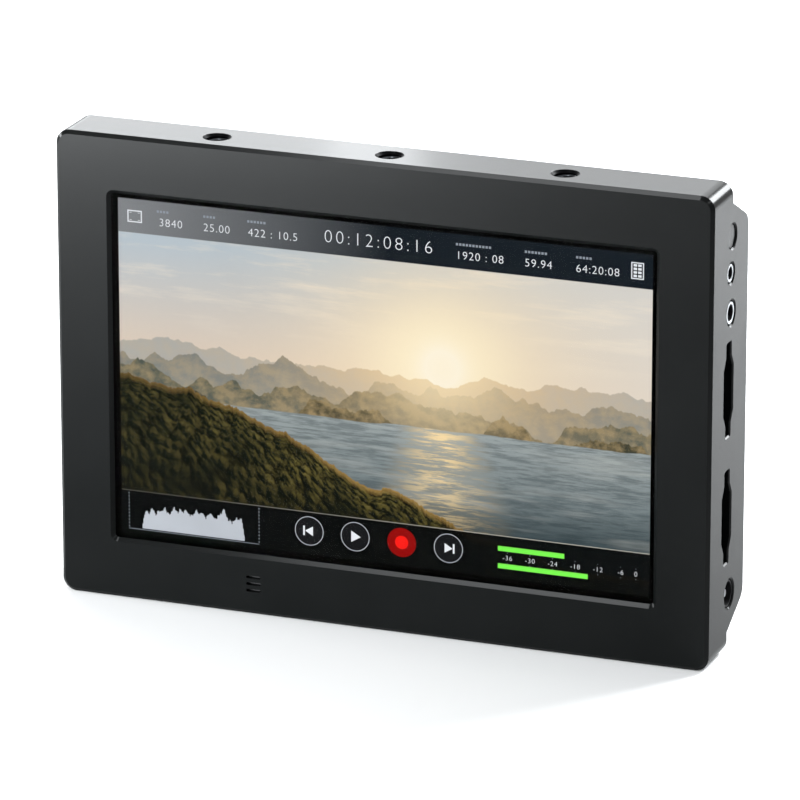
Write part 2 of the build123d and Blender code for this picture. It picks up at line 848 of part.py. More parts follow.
def make_battery_tray():
    """Two battery pockets side by side, each with a well for its latch above it, and four screw lugs."""
    z = (bay_z[0] - tray_t, bay_z[1] + tray_t)
    tray = block((-tray_out, tray_out), (y_bay - tray_t, y_inside), z)
    for x, lug_z in tray_screws():
        ends = sorted(math.copysign(reach, x) for reach in (tray_out - tray_t, tray_out + lug_w))
        tray += block(ends, (y_inside - tray_t, y_inside), span(lug_z, lug_h))
    well_w = latch_w + 2 * slip
    well_floor = latch_y[0] - slip
    for x in bay_x:
        well = (bay_z[1], spring_top + tray_t)
        tray += block(span(x, well_w + 2 * tray_t), (well_floor - tray_t, y_inside), well)
    for x in bay_x:
        tray -= block(span(x, bay_w), (y_bay, y_inside + past), bay_z)
        tray -= block(span(x, well_w), (well_floor, y_inside + past), (z[1], spring_top))
        slot = (span(x, tooth_w + 2 * slip), span(y_tooth, tooth_t + 2 * slip))
        tray -= block(*slot, wider((bay_z[1], z[1])))
    for x, lug_z in tray_screws():
        tray -= rod_y(pan_r + seam, x, wider((y_inside - tray_t, y_inside)), lug_z)
    return tray


def make_terminal(x):
    """Contact block at the low end of a battery pocket."""
    return block(span(x, terminal_w), (y_bay, y_bay + terminal_h), (bay_z[0], bay_z[0] + terminal_t))


def make_blades():
    """Contact blades that stand on the two terminal blocks."""
    y = span(y_bay + terminal_h / 2, blade_w)
    z = (bay_z[0] + terminal_t, bay_z[0] + terminal_t + blade_len)
    return [block(span(x + dx, blade_t), y, z) for x in bay_x for dx in row(blade_count, blade_pitch)]


def make_latch(x):
    """Sprung battery latch: body, thumb pad with ridges and a tooth that reaches into the pocket."""
    latch = block(span(x, latch_w), latch_y, latch_z)
    inner = (latch_z[0] + latch_wall, latch_z[1] - latch_wall)
    hollow = (latch_y[0] - past, latch_y[1] - latch_wall)
    latch -= block(span(x, latch_w - 2 * latch_wall), hollow, inner)
    y_pad = y_rear - pad_recess
    latch += block(span(x, pad_w), (latch_y[1] - hair, y_pad - ridge_t), pad_z)
    pitch = pad_h / ridge_count
    for dz in row(ridge_count, pitch):
        ridge = span(sum(pad_z) / 2 + dz, pitch / 2)
        latch += block(span(x, pad_w - 2 * ridge_margin), (y_pad - ridge_t - hair, y_pad), ridge)
    tooth = block(span(x, tooth_w), span(y_tooth, tooth_t), (bay_z[1] - tooth_reach, latch_z[0] + hair))
    lead = tooth.edges().filter_by(Axis.X).sort_by(Axis.Z)[:2].sort_by(Axis.Y)[-1]
    return latch + chamfer(lead, tooth_lead)


def make_latch_spring(x):
    """Folded strip spring between a latch and the end of its well."""
    step = (spring_len - spring_strip) / spring_legs
    half = latch_w / 2 - spring_inset
    legs = []
    for k in range(spring_legs):
        x0, x1 = (x - half, x + half) if k % 2 == 0 else (x + half, x - half)
        z0 = latch_z[1] + k * step
        z1 = z0 + step
        corners = [(x0, z0), (x1, z1), (x1, z1 + spring_strip), (x0, z0 + spring_strip)]
        legs.append(make_face(Polyline(*corners, close=True)))
    return slab(Sketch() + legs, span(y_tooth, spring_w))


def make_pillar(x, z):
    """Stepped pillar from the inner plate to the rear cover, tapped for its screw."""
    pillar = rod_y(pillar_r, x, (y_plate, y_io), z) + rod_y(pillar_neck_r, x, (y_io - past, y_inside), z)
    return pillar - rod_y(cover_screw_r + hair, x, (y_inside - pillar_bore_depth, y_inside + past), z)


def make_cover_screw(x, z):
    """Countersunk screw with a round key socket."""
    head = (y_rear - cover_head_t, y_rear)
    screw = rod_y(cover_screw_r, x, (y_rear - cover_screw_len, head[0] + hair), z)
    screw += cone_y(cover_screw_r, cover_head_r, x, head, z)
    return screw - rod_y(key_r, x, (y_rear - key_depth, y_rear + past), z)


def make_side_board(side, w, z):
    """Board that carries the ports of one side, resting on the pillars' shoulders."""
    board = block(sorted((side * x_board, side * (x_board - w))), (y_io, y_io_back), z)
    for px, pz in pillars:
        board -= rod_y(pillar_neck_r + seam, px, wider((y_io, y_io_back)), pz)
    return board


def make_socket(z):
    """Moulded base of a card socket: floor, two rails and a back wall."""
    inner = card_w + 2 * card_side_gap
    floor, top = span(y_card, card_room)
    x0 = x_socket - socket_len
    base = block((x0, x_socket), (y_io_back, top), span(z, inner + 2 * socket_wall))
    return base - block((x0 + socket_wall, x_socket + past), (floor, top + past), span(z, inner))


def make_shell(z):
    """Folded metal lid of a card socket."""
    base_w = card_w + 2 * (card_side_gap + socket_wall)
    top = y_card + card_room / 2
    x = (x_socket - socket_len, x_socket)
    lid = block(x, (y_io_back + seam, top + shell_t), span(z, base_w + 2 * shell_t))
    return lid - block(wider(x), (y_io_back - past, top), span(z, base_w))


def make_slider(z):
    """Push-push slider at one edge of a card socket."""
    x0 = x_socket - socket_len + socket_wall + slip + slider_travel
    z0 = z - card_w / 2 - card_side_gap + slip / 2
    return block((x0, x0 + slider_len), span(y_card, card_room - slip), (z0, z0 + slider_w))


def make_contacts():
    """Spring contacts on the floor of both card sockets."""
    floor = y_card - card_room / 2
    x0 = x_socket - socket_len + socket_wall
    places = [z + contact_offset + dz for z in card_z for dz in row(contact_count, contact_pitch)]
    return [block((x0, x0 + contact_len), (floor, floor + contact_t), span(z, contact_w)) for z in places]


def make_power_button():
    """Round cap, a flange that keeps it behind the wall, and a short stem."""
    button = rod_x(power_r, (button_back - hair, x_out - power_recess), y_power, power_z)
    button = chamfer(button.edges().sort_by(Axis.X)[-1], power_edge)
    flange = (button_back - power_flange_t, button_back)
    button += rod_x(power_flange_r, flange, y_power, power_z)
    return button + rod_x(stem_r, (stem_end, flange[0] + hair), y_power, power_z)


def make_plunger():
    return rod_x(stem_r, (stem_end - plunger_len, stem_end), y_power, power_z)


def make_switch():
    """Push switch body with a well for its plunger."""
    mouth = stem_end - power_travel - stem_len / 2
    body = block((mouth - switch_len, mouth), (y_io_back, y_power + switch_w / 2), span(power_z, switch_w))
    well = stem_end - plunger_len - power_travel - slip
    return body - rod_x(stem_r + slip / 2, (well, mouth + past), y_power, power_z)


def make_jack(y, z, ring_r, bore_r):
    """Body of a round jack, with its bore and a round nose in the wall."""
    end = jack_mouth - jack_depth
    body = block((end - jack_end_t, x_board), (y_io_back, y + ring_r), span(z, jack_body_w))
    body += rod_x(ring_r, (x_board - past, x_in), y, z)
    return body - rod_x(bore_r, (end, x_in + past), y, z)


def make_bushings():
    """Bright rings at the mouths of the two jacks, each with a lead-in for the plug."""
    x = (x_in, jack_mouth)
    rings = []
    for y, z, ring_r, bore_r in jacks:
        lead = Cone(bore_r, bore_r + jack_lead, jack_lead)
        lead = Pos(jack_mouth - jack_lead / 2, y, z) * Rot(0, 90, 0) * lead
        rings.append(rod_x(ring_r, x, y, z) - rod_x(bore_r, wider(x), y, z) - lead)
    return rings


def make_dc_inlet():
    """Power inlet with a round well for a barrel plug."""
    end = dc_mouth - dc_depth
    back = (end - dc_end_t, x_board)
    body = rod_x(dc_body_r, back, y_dc, dc_z) + block(back, (y_io_back, y_dc), span(dc_z, 2 * dc_body_r))
    body += rod_x(dc_nose_r, (x_board - past, dc_mouth), y_dc, dc_z)
    return body - rod_x(dc_bore_r, (end, dc_mouth + past), y_dc, dc_z)


def make_dc_pin():
    return rod_x(dc_pin_r, (dc_mouth - dc_depth, dc_mouth - dc_pin_recess), y_dc, dc_z)


def make_video(z):
    """Metal-cased video socket with a tongue, on a foot that meets the board."""
    x = (left_recess - x_out, left_recess - x_out + video_len)
    wide, high = video_w / 2, video_h / 2
    corners = [(-high, -wide), (high, video_cut - wide), (high, wide - video_cut), (-high, wide)]
    outline = make_face(Polyline(*corners, close=True))
    case = prism_x(Pos(y_video, z) * outline, x)
    case += block((x[0] + video_foot, x[1]), (y_io_back, y_video - high + hair), span(z, video_w))
    case -= prism_x(Pos(y_video, z) * offset(outline, -video_wall), (x[0] - past, x[1] - video_wall))
    tongue = (x[0] + tongue_recess, x[1] - video_wall + hair)
    return case + block(tongue, span(y_video, tongue_t), span(z, tongue_w))


def make_coax(z):
    """Small coaxial socket with its centre pin, on a foot that meets the board."""
    x = (left_recess - x_out, left_recess - x_out + coax_len)
    body = rod_x(coax_r, x, y_coax, z)
    body += block((-x_board, x[1]), (y_io_back, y_coax), span(z, 2 * coax_r))
    body -= rod_x(coax_bore_r, (x[0] - past, x[1] - coax_end_t), y_coax, z)
    return body + rod_x(coax_pin_r, (x[0] + tongue_recess, x[1] - coax_end_t + hair), y_coax, z)


def make_audio(z):
    """Shell of a small round audio socket: a flange inside the wall and a deep cup."""
    x = (left_recess - x_out, left_recess - x_out + audio_len)
    body = rod_x(audio_r, x, y_audio, z)
    body += block((-x_in, -x_in + audio_ear_t), span(y_audio, audio_ear_w), span(z, audio_ear_w))
    return body - rod_x(audio_bore_r, (x[0] - past, x[1] - audio_end_t), y_audio, z)


def make_audio_core(z):
    """Insulator that stands in a round audio socket, with its contact holes."""
    x = (left_recess - x_out + audio_core_recess, left_recess - x_out + audio_len - audio_end_t)
    core = rod_x(audio_core_r, x, y_audio, z)
    for k in range(audio_holes):
        turn = math.pi / 2 + 2 * math.pi / audio_holes * k
        place = (y_audio + audio_hole_ring * math.sin(turn), z + audio_hole_ring * math.cos(turn))
        core -= rod_x(audio_hole_r, (x[0] - past, x[0] + audio_hole_depth), *place)
    return core


def make_speaker():
    """Flat loudspeaker: case with a shallow recess for its cone."""
    y0 = y_front + speaker_front_wall + mesh_t
    body = block(span(speaker_x, speaker_w), (y0, y_ledge), span(speaker_z, speaker_h))
    well = pill(speaker_w - 2 * speaker_rim, speaker_h - 2 * speaker_rim, speaker_x, speaker_z)
    return body - slab(well, (y0 - past, y0 + speaker_well))


def make_speaker_mesh():
    y0 = y_front + speaker_front_wall
    return block(span(speaker_x, speaker_w), (y0, y0 + mesh_t), span(speaker_z, speaker_h))


right_board_z = (dc_z - side_board_edge, power_z + side_board_edge)
left_board_z = (link_z - side_board_edge, video_z[0] + video_w / 2 + side_board_edge / 2)
nodes = {
    "housing": make_housing(),
    "rear_cover": make_rear_cover(),
    "rear_cover_screws": [make_cover_screw(x, z) for x, z in pillars],
    "rear_pillars": [make_pillar(x, z) for x, z in pillars],
    "cover_glass": layer(glass_w, glass_h, y_glass, glass_t),
    "glass_tape": make_tape(),
    "touch_sensor": layer(panel_w, panel_h, y_touch, touch_t),
    "display_panel": layer(panel_w, panel_h, y_panel, panel_t),
    "backlight_unit": layer(panel_w, panel_h, y_backlight, backlight_t),
    "display_chassis": make_chassis(),
    "display_ribbon": make_ribbon(),
    "mid_frame": make_mid_frame(),
    "pan_head_screws": make_pan_screws(),
    "main_board": make_main_board(),
    "board_spacers": make_spacers(),
    "board_parts": make_board_parts(),
    "clock_cell": make_cell(),
    "cell_holder": make_cell_holder(),
    "thermal_pad": block(span(sink_x, chip_w), (y_chips, y_sink), span(fan_z, chip_w)),
    "heat_sink": make_heat_sink(),
    "fan_frame": make_fan_frame(),
    "fan_bush": make_fan_bush(),
    "fan_rotor": make_fan_rotor(),
    "fan_screws": make_fan_screws(),
    "fan_gasket": make_fan_gasket(),
    "battery_tray": make_battery_tray(),
    "terminal_blades": make_blades(),
    "right_io_board": make_side_board(1, side_board_w, right_board_z),
    "left_io_board": make_side_board(-1, left_board_w, left_board_z),
    "card_contacts": make_contacts(),
    "power_button": make_power_button(),
    "switch_plunger": make_plunger(),
    "power_switch": make_switch(),
    "headphone_jack": make_jack(*jacks[0]),
    "remote_jack": make_jack(*jacks[1]),
    "jack_bushings": make_bushings(),
    "dc_inlet": make_dc_inlet(),
    "dc_pin": make_dc_pin(),
    "audio_cores": [make_audio_core(z) for z in audio_z],
    "speaker": make_speaker(),
    "speaker_mesh": make_speaker_mesh(),
}
for n in (0, 1):
    nodes[f"terminal_block_{n + 1}"] = make_terminal(bay_x[n])
    nodes[f"battery_latch_{n + 1}"] = make_latch(bay_x[n])
    nodes[f"latch_spring_{n + 1}"] = make_latch_spring(bay_x[n])
    nodes[f"card_socket_{n + 1}"] = make_socket(card_z[n])
    nodes[f"card_shell_{n + 1}"] = make_shell(card_z[n])
    nodes[f"card_slider_{n + 1}"] = make_slider(card_z[n])
    nodes[f"video_socket_{n + 1}"] = make_video(video_z[n])
    nodes[f"coax_socket_{n + 1}"] = make_coax(coax_z[n])
    nodes[f"audio_socket_{n + 1}"] = make_audio(audio_z[n])

os.makedirs("parts", exist_ok=True)
for name, shape in nodes.items():
    whole = Compound(children=shape) if isinstance(shape, list) else shape
    export_step(whole, f"parts/{name}.step")
print(len(nodes), "nodes written")
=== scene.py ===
# %% [markdown]
# # Dressing a recording monitor
# The solids of a slim camera monitor arrive as a fixed frame, in metres, with every part in its place.
# This lesson gives each part its finish, lights the screen, and adds the small things that a solid model leaves
# out: thread turns, screw sockets and what the screen shows.

# %% Load the solids
import json
import math

import bmesh
import bpy
from mathutils import Matrix, Vector


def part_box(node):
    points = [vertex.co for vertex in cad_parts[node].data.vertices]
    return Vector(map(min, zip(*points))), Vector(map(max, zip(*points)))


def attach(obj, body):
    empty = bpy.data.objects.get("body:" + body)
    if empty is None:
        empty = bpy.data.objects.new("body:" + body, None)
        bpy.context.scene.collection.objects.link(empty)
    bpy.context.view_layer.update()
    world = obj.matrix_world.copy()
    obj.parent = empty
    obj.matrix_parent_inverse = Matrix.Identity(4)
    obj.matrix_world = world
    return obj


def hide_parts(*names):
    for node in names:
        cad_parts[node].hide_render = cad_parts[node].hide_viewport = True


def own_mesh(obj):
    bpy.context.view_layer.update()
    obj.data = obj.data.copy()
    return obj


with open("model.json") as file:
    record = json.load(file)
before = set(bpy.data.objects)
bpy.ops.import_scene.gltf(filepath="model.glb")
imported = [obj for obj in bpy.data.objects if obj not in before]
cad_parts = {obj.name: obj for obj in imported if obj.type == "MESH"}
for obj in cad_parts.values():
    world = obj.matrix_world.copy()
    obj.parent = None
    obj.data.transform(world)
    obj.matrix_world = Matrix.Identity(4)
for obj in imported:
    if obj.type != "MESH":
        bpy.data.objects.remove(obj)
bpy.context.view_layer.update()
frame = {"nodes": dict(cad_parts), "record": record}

print("solids loaded:", len(frame["nodes"]), "nodes")

# %% [markdown]
# ## Units and places
# The drawings of such a monitor are in millimetres and Blender works in metres, so one named factor joins the two.
# Places are read from the solids' own boxes where that is possible, so that a finish stays on its part when the
# part is resized. Points nearer than a thousandth of a millimetre count as one.

# %% Units and places
MM = 0.001
TOUCHING = 0.001 * MM
body_low, body_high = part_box("housing")
panel_low, panel_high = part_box("display_panel")
panel_rim = 3.0 * MM
picture_left = panel_low.x + panel_rim
picture_right = panel_high.x - panel_rim
picture_foot = panel_low.z + panel_rim
picture_head = panel_high.z - panel_rim
picture_height = picture_head - picture_foot
panel_face = panel_low.y
print("picture:", round((picture_right - picture_left) / MM, 1), "by", round(picture_height / MM, 1), "mm")

# %% [markdown]
# A mesh, a lamp or a camera shows only through an object that is linked to the scene. One helper does both.

# %% Objects
def new_object(name, data):
    thing = bpy.data.objects.new(name, data)
    bpy.context.scene.collection.objects.link(thing)
    return thing


print("objects can be made")

# %% [markdown]
# ## The camera
# A long lens from well back keeps the upright edges nearly parallel, as in a catalogue picture.
# The place and the aim were found by matching the corners of the body, so the view needs no lens shift.

# %% The camera
camera_place = Vector((0.6116, -1.6176, 0.6264))
camera_aim = Vector((0.00026, 0.0, 0.06056))
camera_data = bpy.data.cameras.new("studio_camera")
camera_data.sensor_width = 36.0
camera_data.lens = 306.33
camera_data.clip_start = 0.05
camera = new_object("studio_camera", camera_data)
camera.location = camera_place
camera.rotation_euler = (camera_aim - camera_place).to_track_quat("-Z", "Y").to_euler()
bpy.context.scene.camera = camera
bpy.context.scene.view_settings.view_transform = "Standard"
print("camera is", round((camera_aim - camera_place).length, 2), "m from the monitor")

# %% [markdown]
# ## Colours
# Colours are named as a screen shows them, from 0 to 255, and shaders want linear light. One function turns the
# first into the second.

# %% Screen colours to linear light
def colour(red, green, blue):
    linear = []
    for part in (red, green, blue):
        part /= 255.0
        linear.append(part / 12.92 if part <= 0.04045 else ((part + 0.055) / 1.055) ** 2.4)
    return (*linear, 1.0)


print("mid grey is", round(colour(128, 128, 128)[0], 3), "in linear light")

# %% [markdown]
# ## Short words for node trees
# Materials are trees of nodes. A small class keeps the script readable: it adds a node, feeds its inputs with
# numbers or with other nodes, and does sums.

# %% A class that writes node trees
class Tree:
    """A node tree with short words for adding nodes and joining them."""

    def __init__(self, tree):
        self.tree = tree

    def feed(self, socket, value):
        if isinstance(value, bpy.types.NodeSocket):
            self.tree.links.new(value, socket)
        else:
            socket.default_value = value

    def add(self, kind, settings=None, **inputs):
        node = self.tree.nodes.new(kind)
        for name, value in (settings or {}).items():
            setattr(node, name, value)
        for name, value in inputs.items():
            self.feed(node.inputs[name.replace("_", " ")], value)
        return node

    def sum(self, operation, *values, clamp=False):
        node = self.add("ShaderNodeMath", {"operation": operation, "use_clamp": clamp})
        for socket, value in zip(node.inputs, values):
            self.feed(socket, value)
        return node.outputs[0]

    def times(self, one, other):
        return self.sum("MULTIPLY", one, other)

    def plus(self, one, other):
        return self.sum("ADD", one, other)

    def minus(self, one, other):
        return self.sum("SUBTRACT", one, other)

    def vector(self, operation, *values):
        node = self.add("ShaderNodeVectorMath", {"operation": operation})
        for socket, value in zip(node.inputs, values):
            self.feed(socket, value)
        return node.outputs["Value" if operation == "LENGTH" else "Vector"]

    def mix(self, share, low, high):
        """Two colours, mixed. Three numbers are a colour as a screen shows it."""
        node = self.add("ShaderNodeMix", {"data_type": "RGBA"})
        for index, value in ((0, share), (6, low), (7, high)):
            as_shown = isinstance(value, tuple) and len(value) == 3
            self.feed(node.inputs[index], colour(*value) if as_shown else value)
        return node.outputs[2]

    def fit(self, value, low, high, to_low=0.0, to_high=1.0, kind="LINEAR"):
        """Stretch the range low to high onto another range, and stop at its ends."""
        node = self.add("ShaderNodeMapRange", {"interpolation_type": kind})
        for socket, number in zip(node.inputs, (value, low, high, to_low, to_high)):
            self.feed(socket, number)
        return node.outputs[0]

    def noise(self, place, scale, detail=2.0, roughness=0.5, dimensions="3D"):
        name = "W" if dimensions == "1D" else "Vector"
        settings = {"noise_dimensions": dimensions}
        node = self.add("ShaderNodeTexNoise", settings, Scale=scale, Detail=detail, Roughness=roughness)
        self.feed(node.inputs[name], place)
        return node.outputs[0]

    def place(self):
        return self.add("ShaderNodeTexCoord").outputs["Object"]

    def split(self, vector):
        return self.add("ShaderNodeSeparateXYZ", Vector=vector).outputs

    def join(self, x=0.0, y=0.0, z=0.0):
        return self.add("ShaderNodeCombineXYZ", X=x, Y=y, Z=z).outputs[0]


print("node words ready")

# %% [markdown]
# Two more helpers start a shader group, which several materials can share, and a material. A value that is the same
# all over a surface sits on the shader's own socket.

# %% Groups and materials
finishes = {}


def add_inputs(tree, values):
    """One input for each start value. A tuple makes a vector."""
    for label, value in values.items():
        kind = "NodeSocketVector" if isinstance(value, tuple) else "NodeSocketFloat"
        tree.interface.new_socket(name=label, in_out="INPUT", socket_type=kind).default_value = value


def new_group(name, inputs, outputs):
    """An empty shader group with these inputs and outputs."""
    tree = bpy.data.node_groups.new(name, "ShaderNodeTree")
    add_inputs(tree, inputs)
    for label in outputs:
        tree.interface.new_socket(name=label, in_out="OUTPUT", socket_type="NodeSocketFloat")
    return Tree(tree), tree.nodes.new("NodeGroupInput"), tree.nodes.new("NodeGroupOutput")


def shader_of(material):
    """The sockets of the material's one Principled shader."""
    return material.node_tree.nodes["Principled BSDF"].inputs


def new_material(name, **fixed):
    """A material with its fixed values set. Returns it with its tree and its shader's sockets."""
    material = bpy.data.materials.new(name)
    material.use_nodes = True
    shader = shader_of(material)
    for label, value in fixed.items():
        shader[label.replace("_", " ")].default_value = value
    return material, Tree(material.node_tree), shader


def new_finish(slot, **fixed):
    """A material for the record's slot of this name."""
    material, tree, shader = new_material(slot, **fixed)
    finishes[slot] = material
    return tree, shader


def use_group(tree, group, **inputs):
    return tree.add("ShaderNodeGroup", {"node_tree": group.tree}, **inputs).outputs


def surface(tree, shader, tint, rough, height=None, relief=0.0, reach=0.0):
    """Feed colour, roughness and, where there is a height, a bump. reach is the bump's depth in mm."""
    tree.feed(shader["Base Color"], tint)
    tree.feed(shader["Roughness"], rough)
    if height is not None:
        raised = tree.add("ShaderNodeBump", Strength=relief, Distance=reach * MM, Height=height)
        tree.feed(shader["Normal"], raised.outputs[0])


print("material helpers ready")

# %% [markdown]
# ## Grain, shared by every moulded and painted part
# Paint, moulded plastic and blasted metal all have a fine uneven skin. One group makes it: a small noise for the
# height, and a broad one for slow changes of tone.

# %% The grain group
grain, grain_in, grain_out = new_group("surface_grain", {"Size": 0.0003, "Patch": 0.02}, ("Height", "Tone"))
spot = grain.place()
fine = grain.noise(spot, grain.sum("DIVIDE", 1.0, grain_in.outputs["Size"]), 3.0, 0.6)
broad = grain.noise(spot, grain.sum("DIVIDE", 1.0, grain_in.outputs["Patch"]), 2.0, 0.5)
grain.feed(grain_out.inputs["Height"], fine)
grain.feed(grain_out.inputs["Tone"], grain.fit(broad, 0.3, 0.7))
print("made", grain.tree.name)

# %% [markdown]
# ## Drawn lines, shared by the metals
# Rolled, brushed or ground metal shows fine lines one way. The group stretches a noise along one axis by giving
# each axis its own number of lines per metre.

# %% The drawn lines group
lines, lines_in, lines_out = new_group("drawn_lines", {"Lines": (60.0, 6000.0, 6000.0)}, ("Height", "Tone"))
stretched = lines.vector("MULTIPLY", lines.place(), lines_in.outputs["Lines"])
lines.feed(lines_out.inputs["Height"], lines.noise(stretched, 1.0, 3.0, 0.6))
lines.feed(lines_out.inputs["Tone"], lines.fit(lines.noise(stretched, 0.13, 2.0), 0.35, 0.65))
print("made", lines.tree.name)

# %% [markdown]
# ## Handling marks
# Even a clean studio sample has been held. Soft smudges change only the gloss, never the colour.

# %% The handling group
marks, marks_in, marks_out = new_group("handling_marks", {"Size": 0.025, "Cover": 0.5}, ("Smudge",))
spot = marks.place()
cloud = marks.noise(spot, marks.sum("DIVIDE", 1.0, marks_in.outputs["Size"]), 4.0, 0.55)
edge = marks.fit(marks_in.outputs["Cover"], 0.0, 1.0, 0.75, 0.35)
marks.feed(marks_out.inputs["Smudge"], marks.fit(cloud, edge, marks.plus(edge, 0.2), kind="SMOOTHSTEP"))
print("made", marks.tree.name)

# %% [markdown]
# ## Painted and moulded finishes
# Most parts are either satin paint on metal or moulded plastic. They differ in colour, gloss and grain, so one
# function makes them all and each part brings its own numbers.

# %% Skins with grain
def lay_pattern(tree, shader, pattern, dark, light, gloss, relief, reach, cover, dulled):
    """Colour follows the pattern's tone, gloss its height, and held places are duller."""
    smudged = tree.times(use_group(tree, marks, Cover=cover)["Smudge"], dulled)
    rough = tree.plus(tree.fit(pattern["Height"], 0.3, 0.7, *gloss), smudged)
    surface(tree, shader, tree.mix(pattern["Tone"], dark, light), rough, pattern["Height"], relief, reach)


def skin(slot, dark, light, gloss, size, relief, **fixed):
    """Paint or plastic: two near colours, a roughness range, the grain's size in mm and its relief."""
    tree, shader = new_finish(slot, **fixed)
    grained = use_group(tree, grain, Size=size * MM)
    lay_pattern(tree, shader, grained, dark, light, gloss, relief, reach=0.1, cover=0.45, dulled=0.06)


clear_coat = {"IOR": 1.07, "Coat_Weight": 0.22, "Coat_Roughness": 0.12, "Coat_IOR": 1.35}
skin("body_metal", (4, 5, 5), (6, 7, 7), (0.27, 0.33), 0.22, 0.06, **clear_coat)
skin("button_metal", (8, 9, 10), (11, 12, 13), (0.25, 0.31), 0.18, 0.05, **clear_coat)
skin("cover_plastic", (20, 21, 23), (24, 25, 27), (0.46, 0.60), 0.35, 0.28, Specular_IOR_Level=0.25)
skin("latch_plastic", (26, 27, 29), (31, 32, 34), (0.42, 0.55), 0.30, 0.22, Specular_IOR_Level=0.3)
skin("tray_plastic", (16, 17, 18), (20, 21, 22), (0.50, 0.64), 0.40, 0.30, Specular_IOR_Level=0.25)
skin("terminal_plastic", (18, 18, 19), (24, 24, 25), (0.40, 0.52), 0.25, 0.18)
skin("fan_plastic", (16, 16, 17), (22, 22, 23), (0.36, 0.48), 0.30, 0.15)
skin("socket_plastic", (9, 9, 10), (13, 13, 14), (0.46, 0.56), 0.22, 0.14, Specular_IOR_Level=0.1)
skin("slider_plastic", (196, 190, 176), (210, 205, 192), (0.38, 0.50), 0.25, 0.14)
skin("holder_plastic", (24, 24, 26), (32, 32, 34), (0.40, 0.55), 0.25, 0.16)
skin("plunger_plastic", (186, 186, 182), (204, 204, 200), (0.35, 0.48), 0.20, 0.12)
skin("switch_plastic", (20, 20, 22), (28, 28, 30), (0.38, 0.50), 0.20, 0.14)
skin("speaker_black", (18, 18, 19), (26, 26, 27), (0.45, 0.60), 0.30, 0.20)
skin("sink_metal", (26, 27, 29), (34, 35, 37), (0.38, 0.50), 0.15, 0.12, Metallic=0.6)
print("skins:", len(finishes))

# %% [markdown]
# ## Bare metals
# Bare metal takes its look from what it mirrors, so its colour stays even and its fine lines do the work: they
# spread the gloss one way.

# %% Metals with drawn lines
def bare_metal(slot, dark, light, gloss, along, relief, **fixed):
    """Bare or plated metal. along gives the lines per metre on each axis, few along the grain."""
    tree, shader = new_finish(slot, Metallic=1.0, **fixed)
    drawn = use_group(tree, lines, Lines=along)
    lay_pattern(tree, shader, drawn, dark, light, gloss, relief, reach=0.05, cover=0.4, dulled=0.08)


ALONG_X = (80.0, 5000.0, 5000.0)
ALONG_Y = (5000.0, 80.0, 5000.0)
ALONG_Z = (5000.0, 5000.0, 80.0)
EVEN = (3500.0, 3500.0, 3500.0)
bare_metal("black_screws", (40, 40, 42), (52, 52, 54), (0.28, 0.42), EVEN, 0.10)
bare_metal("pillar_metal", (168, 170, 172), (186, 188, 190), (0.22, 0.36), ALONG_X, 0.12)
bare_metal("tray_metal", (182, 184, 186), (200, 202, 204), (0.24, 0.38), ALONG_X, 0.10)
bare_metal("plate_metal", (160, 163, 166), (180, 183, 186), (0.28, 0.42), ALONG_X, 0.12)
bare_metal("steel_screws", (176, 178, 182), (198, 200, 204), (0.20, 0.34), EVEN, 0.10)
bare_metal("spacer_brass", (206, 176, 98), (222, 194, 116), (0.20, 0.34), EVEN, 0.10)
bare_metal("bush_brass", (190, 148, 84), (206, 166, 98), (0.24, 0.38), ALONG_Y, 0.10)
bare_metal("cell_steel", (196, 198, 200), (214, 216, 218), (0.14, 0.26), ALONG_X, 0.08)
bare_metal("contact_gold", (224, 180, 92), (240, 200, 116), (0.16, 0.28), ALONG_Z, 0.08)
bare_metal("spring_steel", (82, 82, 86), (102, 102, 106), (0.28, 0.40), ALONG_X, 0.10)
bare_metal("shell_metal", (126, 128, 132), (146, 148, 152), (0.34, 0.46), ALONG_X, 0.10)
bare_metal("bright_ring", (116, 119, 123), (136, 139, 143), (0.26, 0.38), EVEN, 0.06, IOR=1.05)
bare_metal("thread_metal", (44, 46, 48), (64, 66, 69), (0.10, 0.18), EVEN, 0.05)
bare_metal("coax_metal", (138, 138, 137), (158, 158, 157), (0.32, 0.44), ALONG_X, 0.10)
bare_metal("audio_metal", (98, 100, 103), (118, 120, 123), (0.36, 0.48), ALONG_X, 0.12)
print("finishes so far:", len(finishes))

# %% [markdown]
# Two finishes change with the place. Inside the bore of each jack's bright ring the metal is painted near black and
# dull: painted shade for the deep hole. The paint leaves off inside the camera threads, where the cut metal is left
# dull.
# Both masks are distances from an axis. The camera threads share one sum, because they stand at equal steps.

# %% Painted bore shade and bare thread metal
def tint_by_mask(tree, shader, mask, tint, rough):
    """Where the mask is 1, lay another colour and roughness over a finish, without its metal and its coat."""
    colour_before = shader["Base Color"].links[0].from_socket
    tree.feed(shader["Base Color"], tree.mix(mask, colour_before, tint))
    rough_before = shader["Roughness"].links[0].from_socket
    tree.feed(shader["Roughness"], tree.fit(mask, 0.0, 1.0, rough_before, rough))
    for label in ("Metallic", "Coat Weight"):
        if shader[label].default_value > 0.0:
            tree.feed(shader[label], tree.fit(mask, 0.0, 1.0, shader[label].default_value, 0.0))


def distance_from(tree, a, b, a0=0.0, b0=0.0):
    da = tree.minus(a, a0)
    db = tree.minus(b, b0)
    return tree.sum("SQRT", tree.plus(tree.times(da, da), tree.times(db, db)))


# Painted shade: inside each jack ring's bore, and 0.5 mm around its mouth, the metal is laid near black and dull.
BORE_SHADE_EDGE = 0.5
tree = Tree(finishes["bright_ring"].node_tree)
x, y, z = tree.split(tree.place())
bore_painted_shade = 0.0
for mount in frame["record"]["mounts"]:
    if mount["name"] in ("headphone_socket", "remote_socket"):
        away = distance_from(tree, y, z, mount["pos_m"][1], mount["pos_m"][2])
        bore_shade_radius = (mount["dims"]["r_mm"] + BORE_SHADE_EDGE) * MM
        bore_painted_shade = tree.sum("MAXIMUM", bore_painted_shade, tree.sum("LESS_THAN", away, bore_shade_radius))
tint_by_mask(tree, shader_of(finishes["bright_ring"]), bore_painted_shade, (8, 8, 9), 0.6)

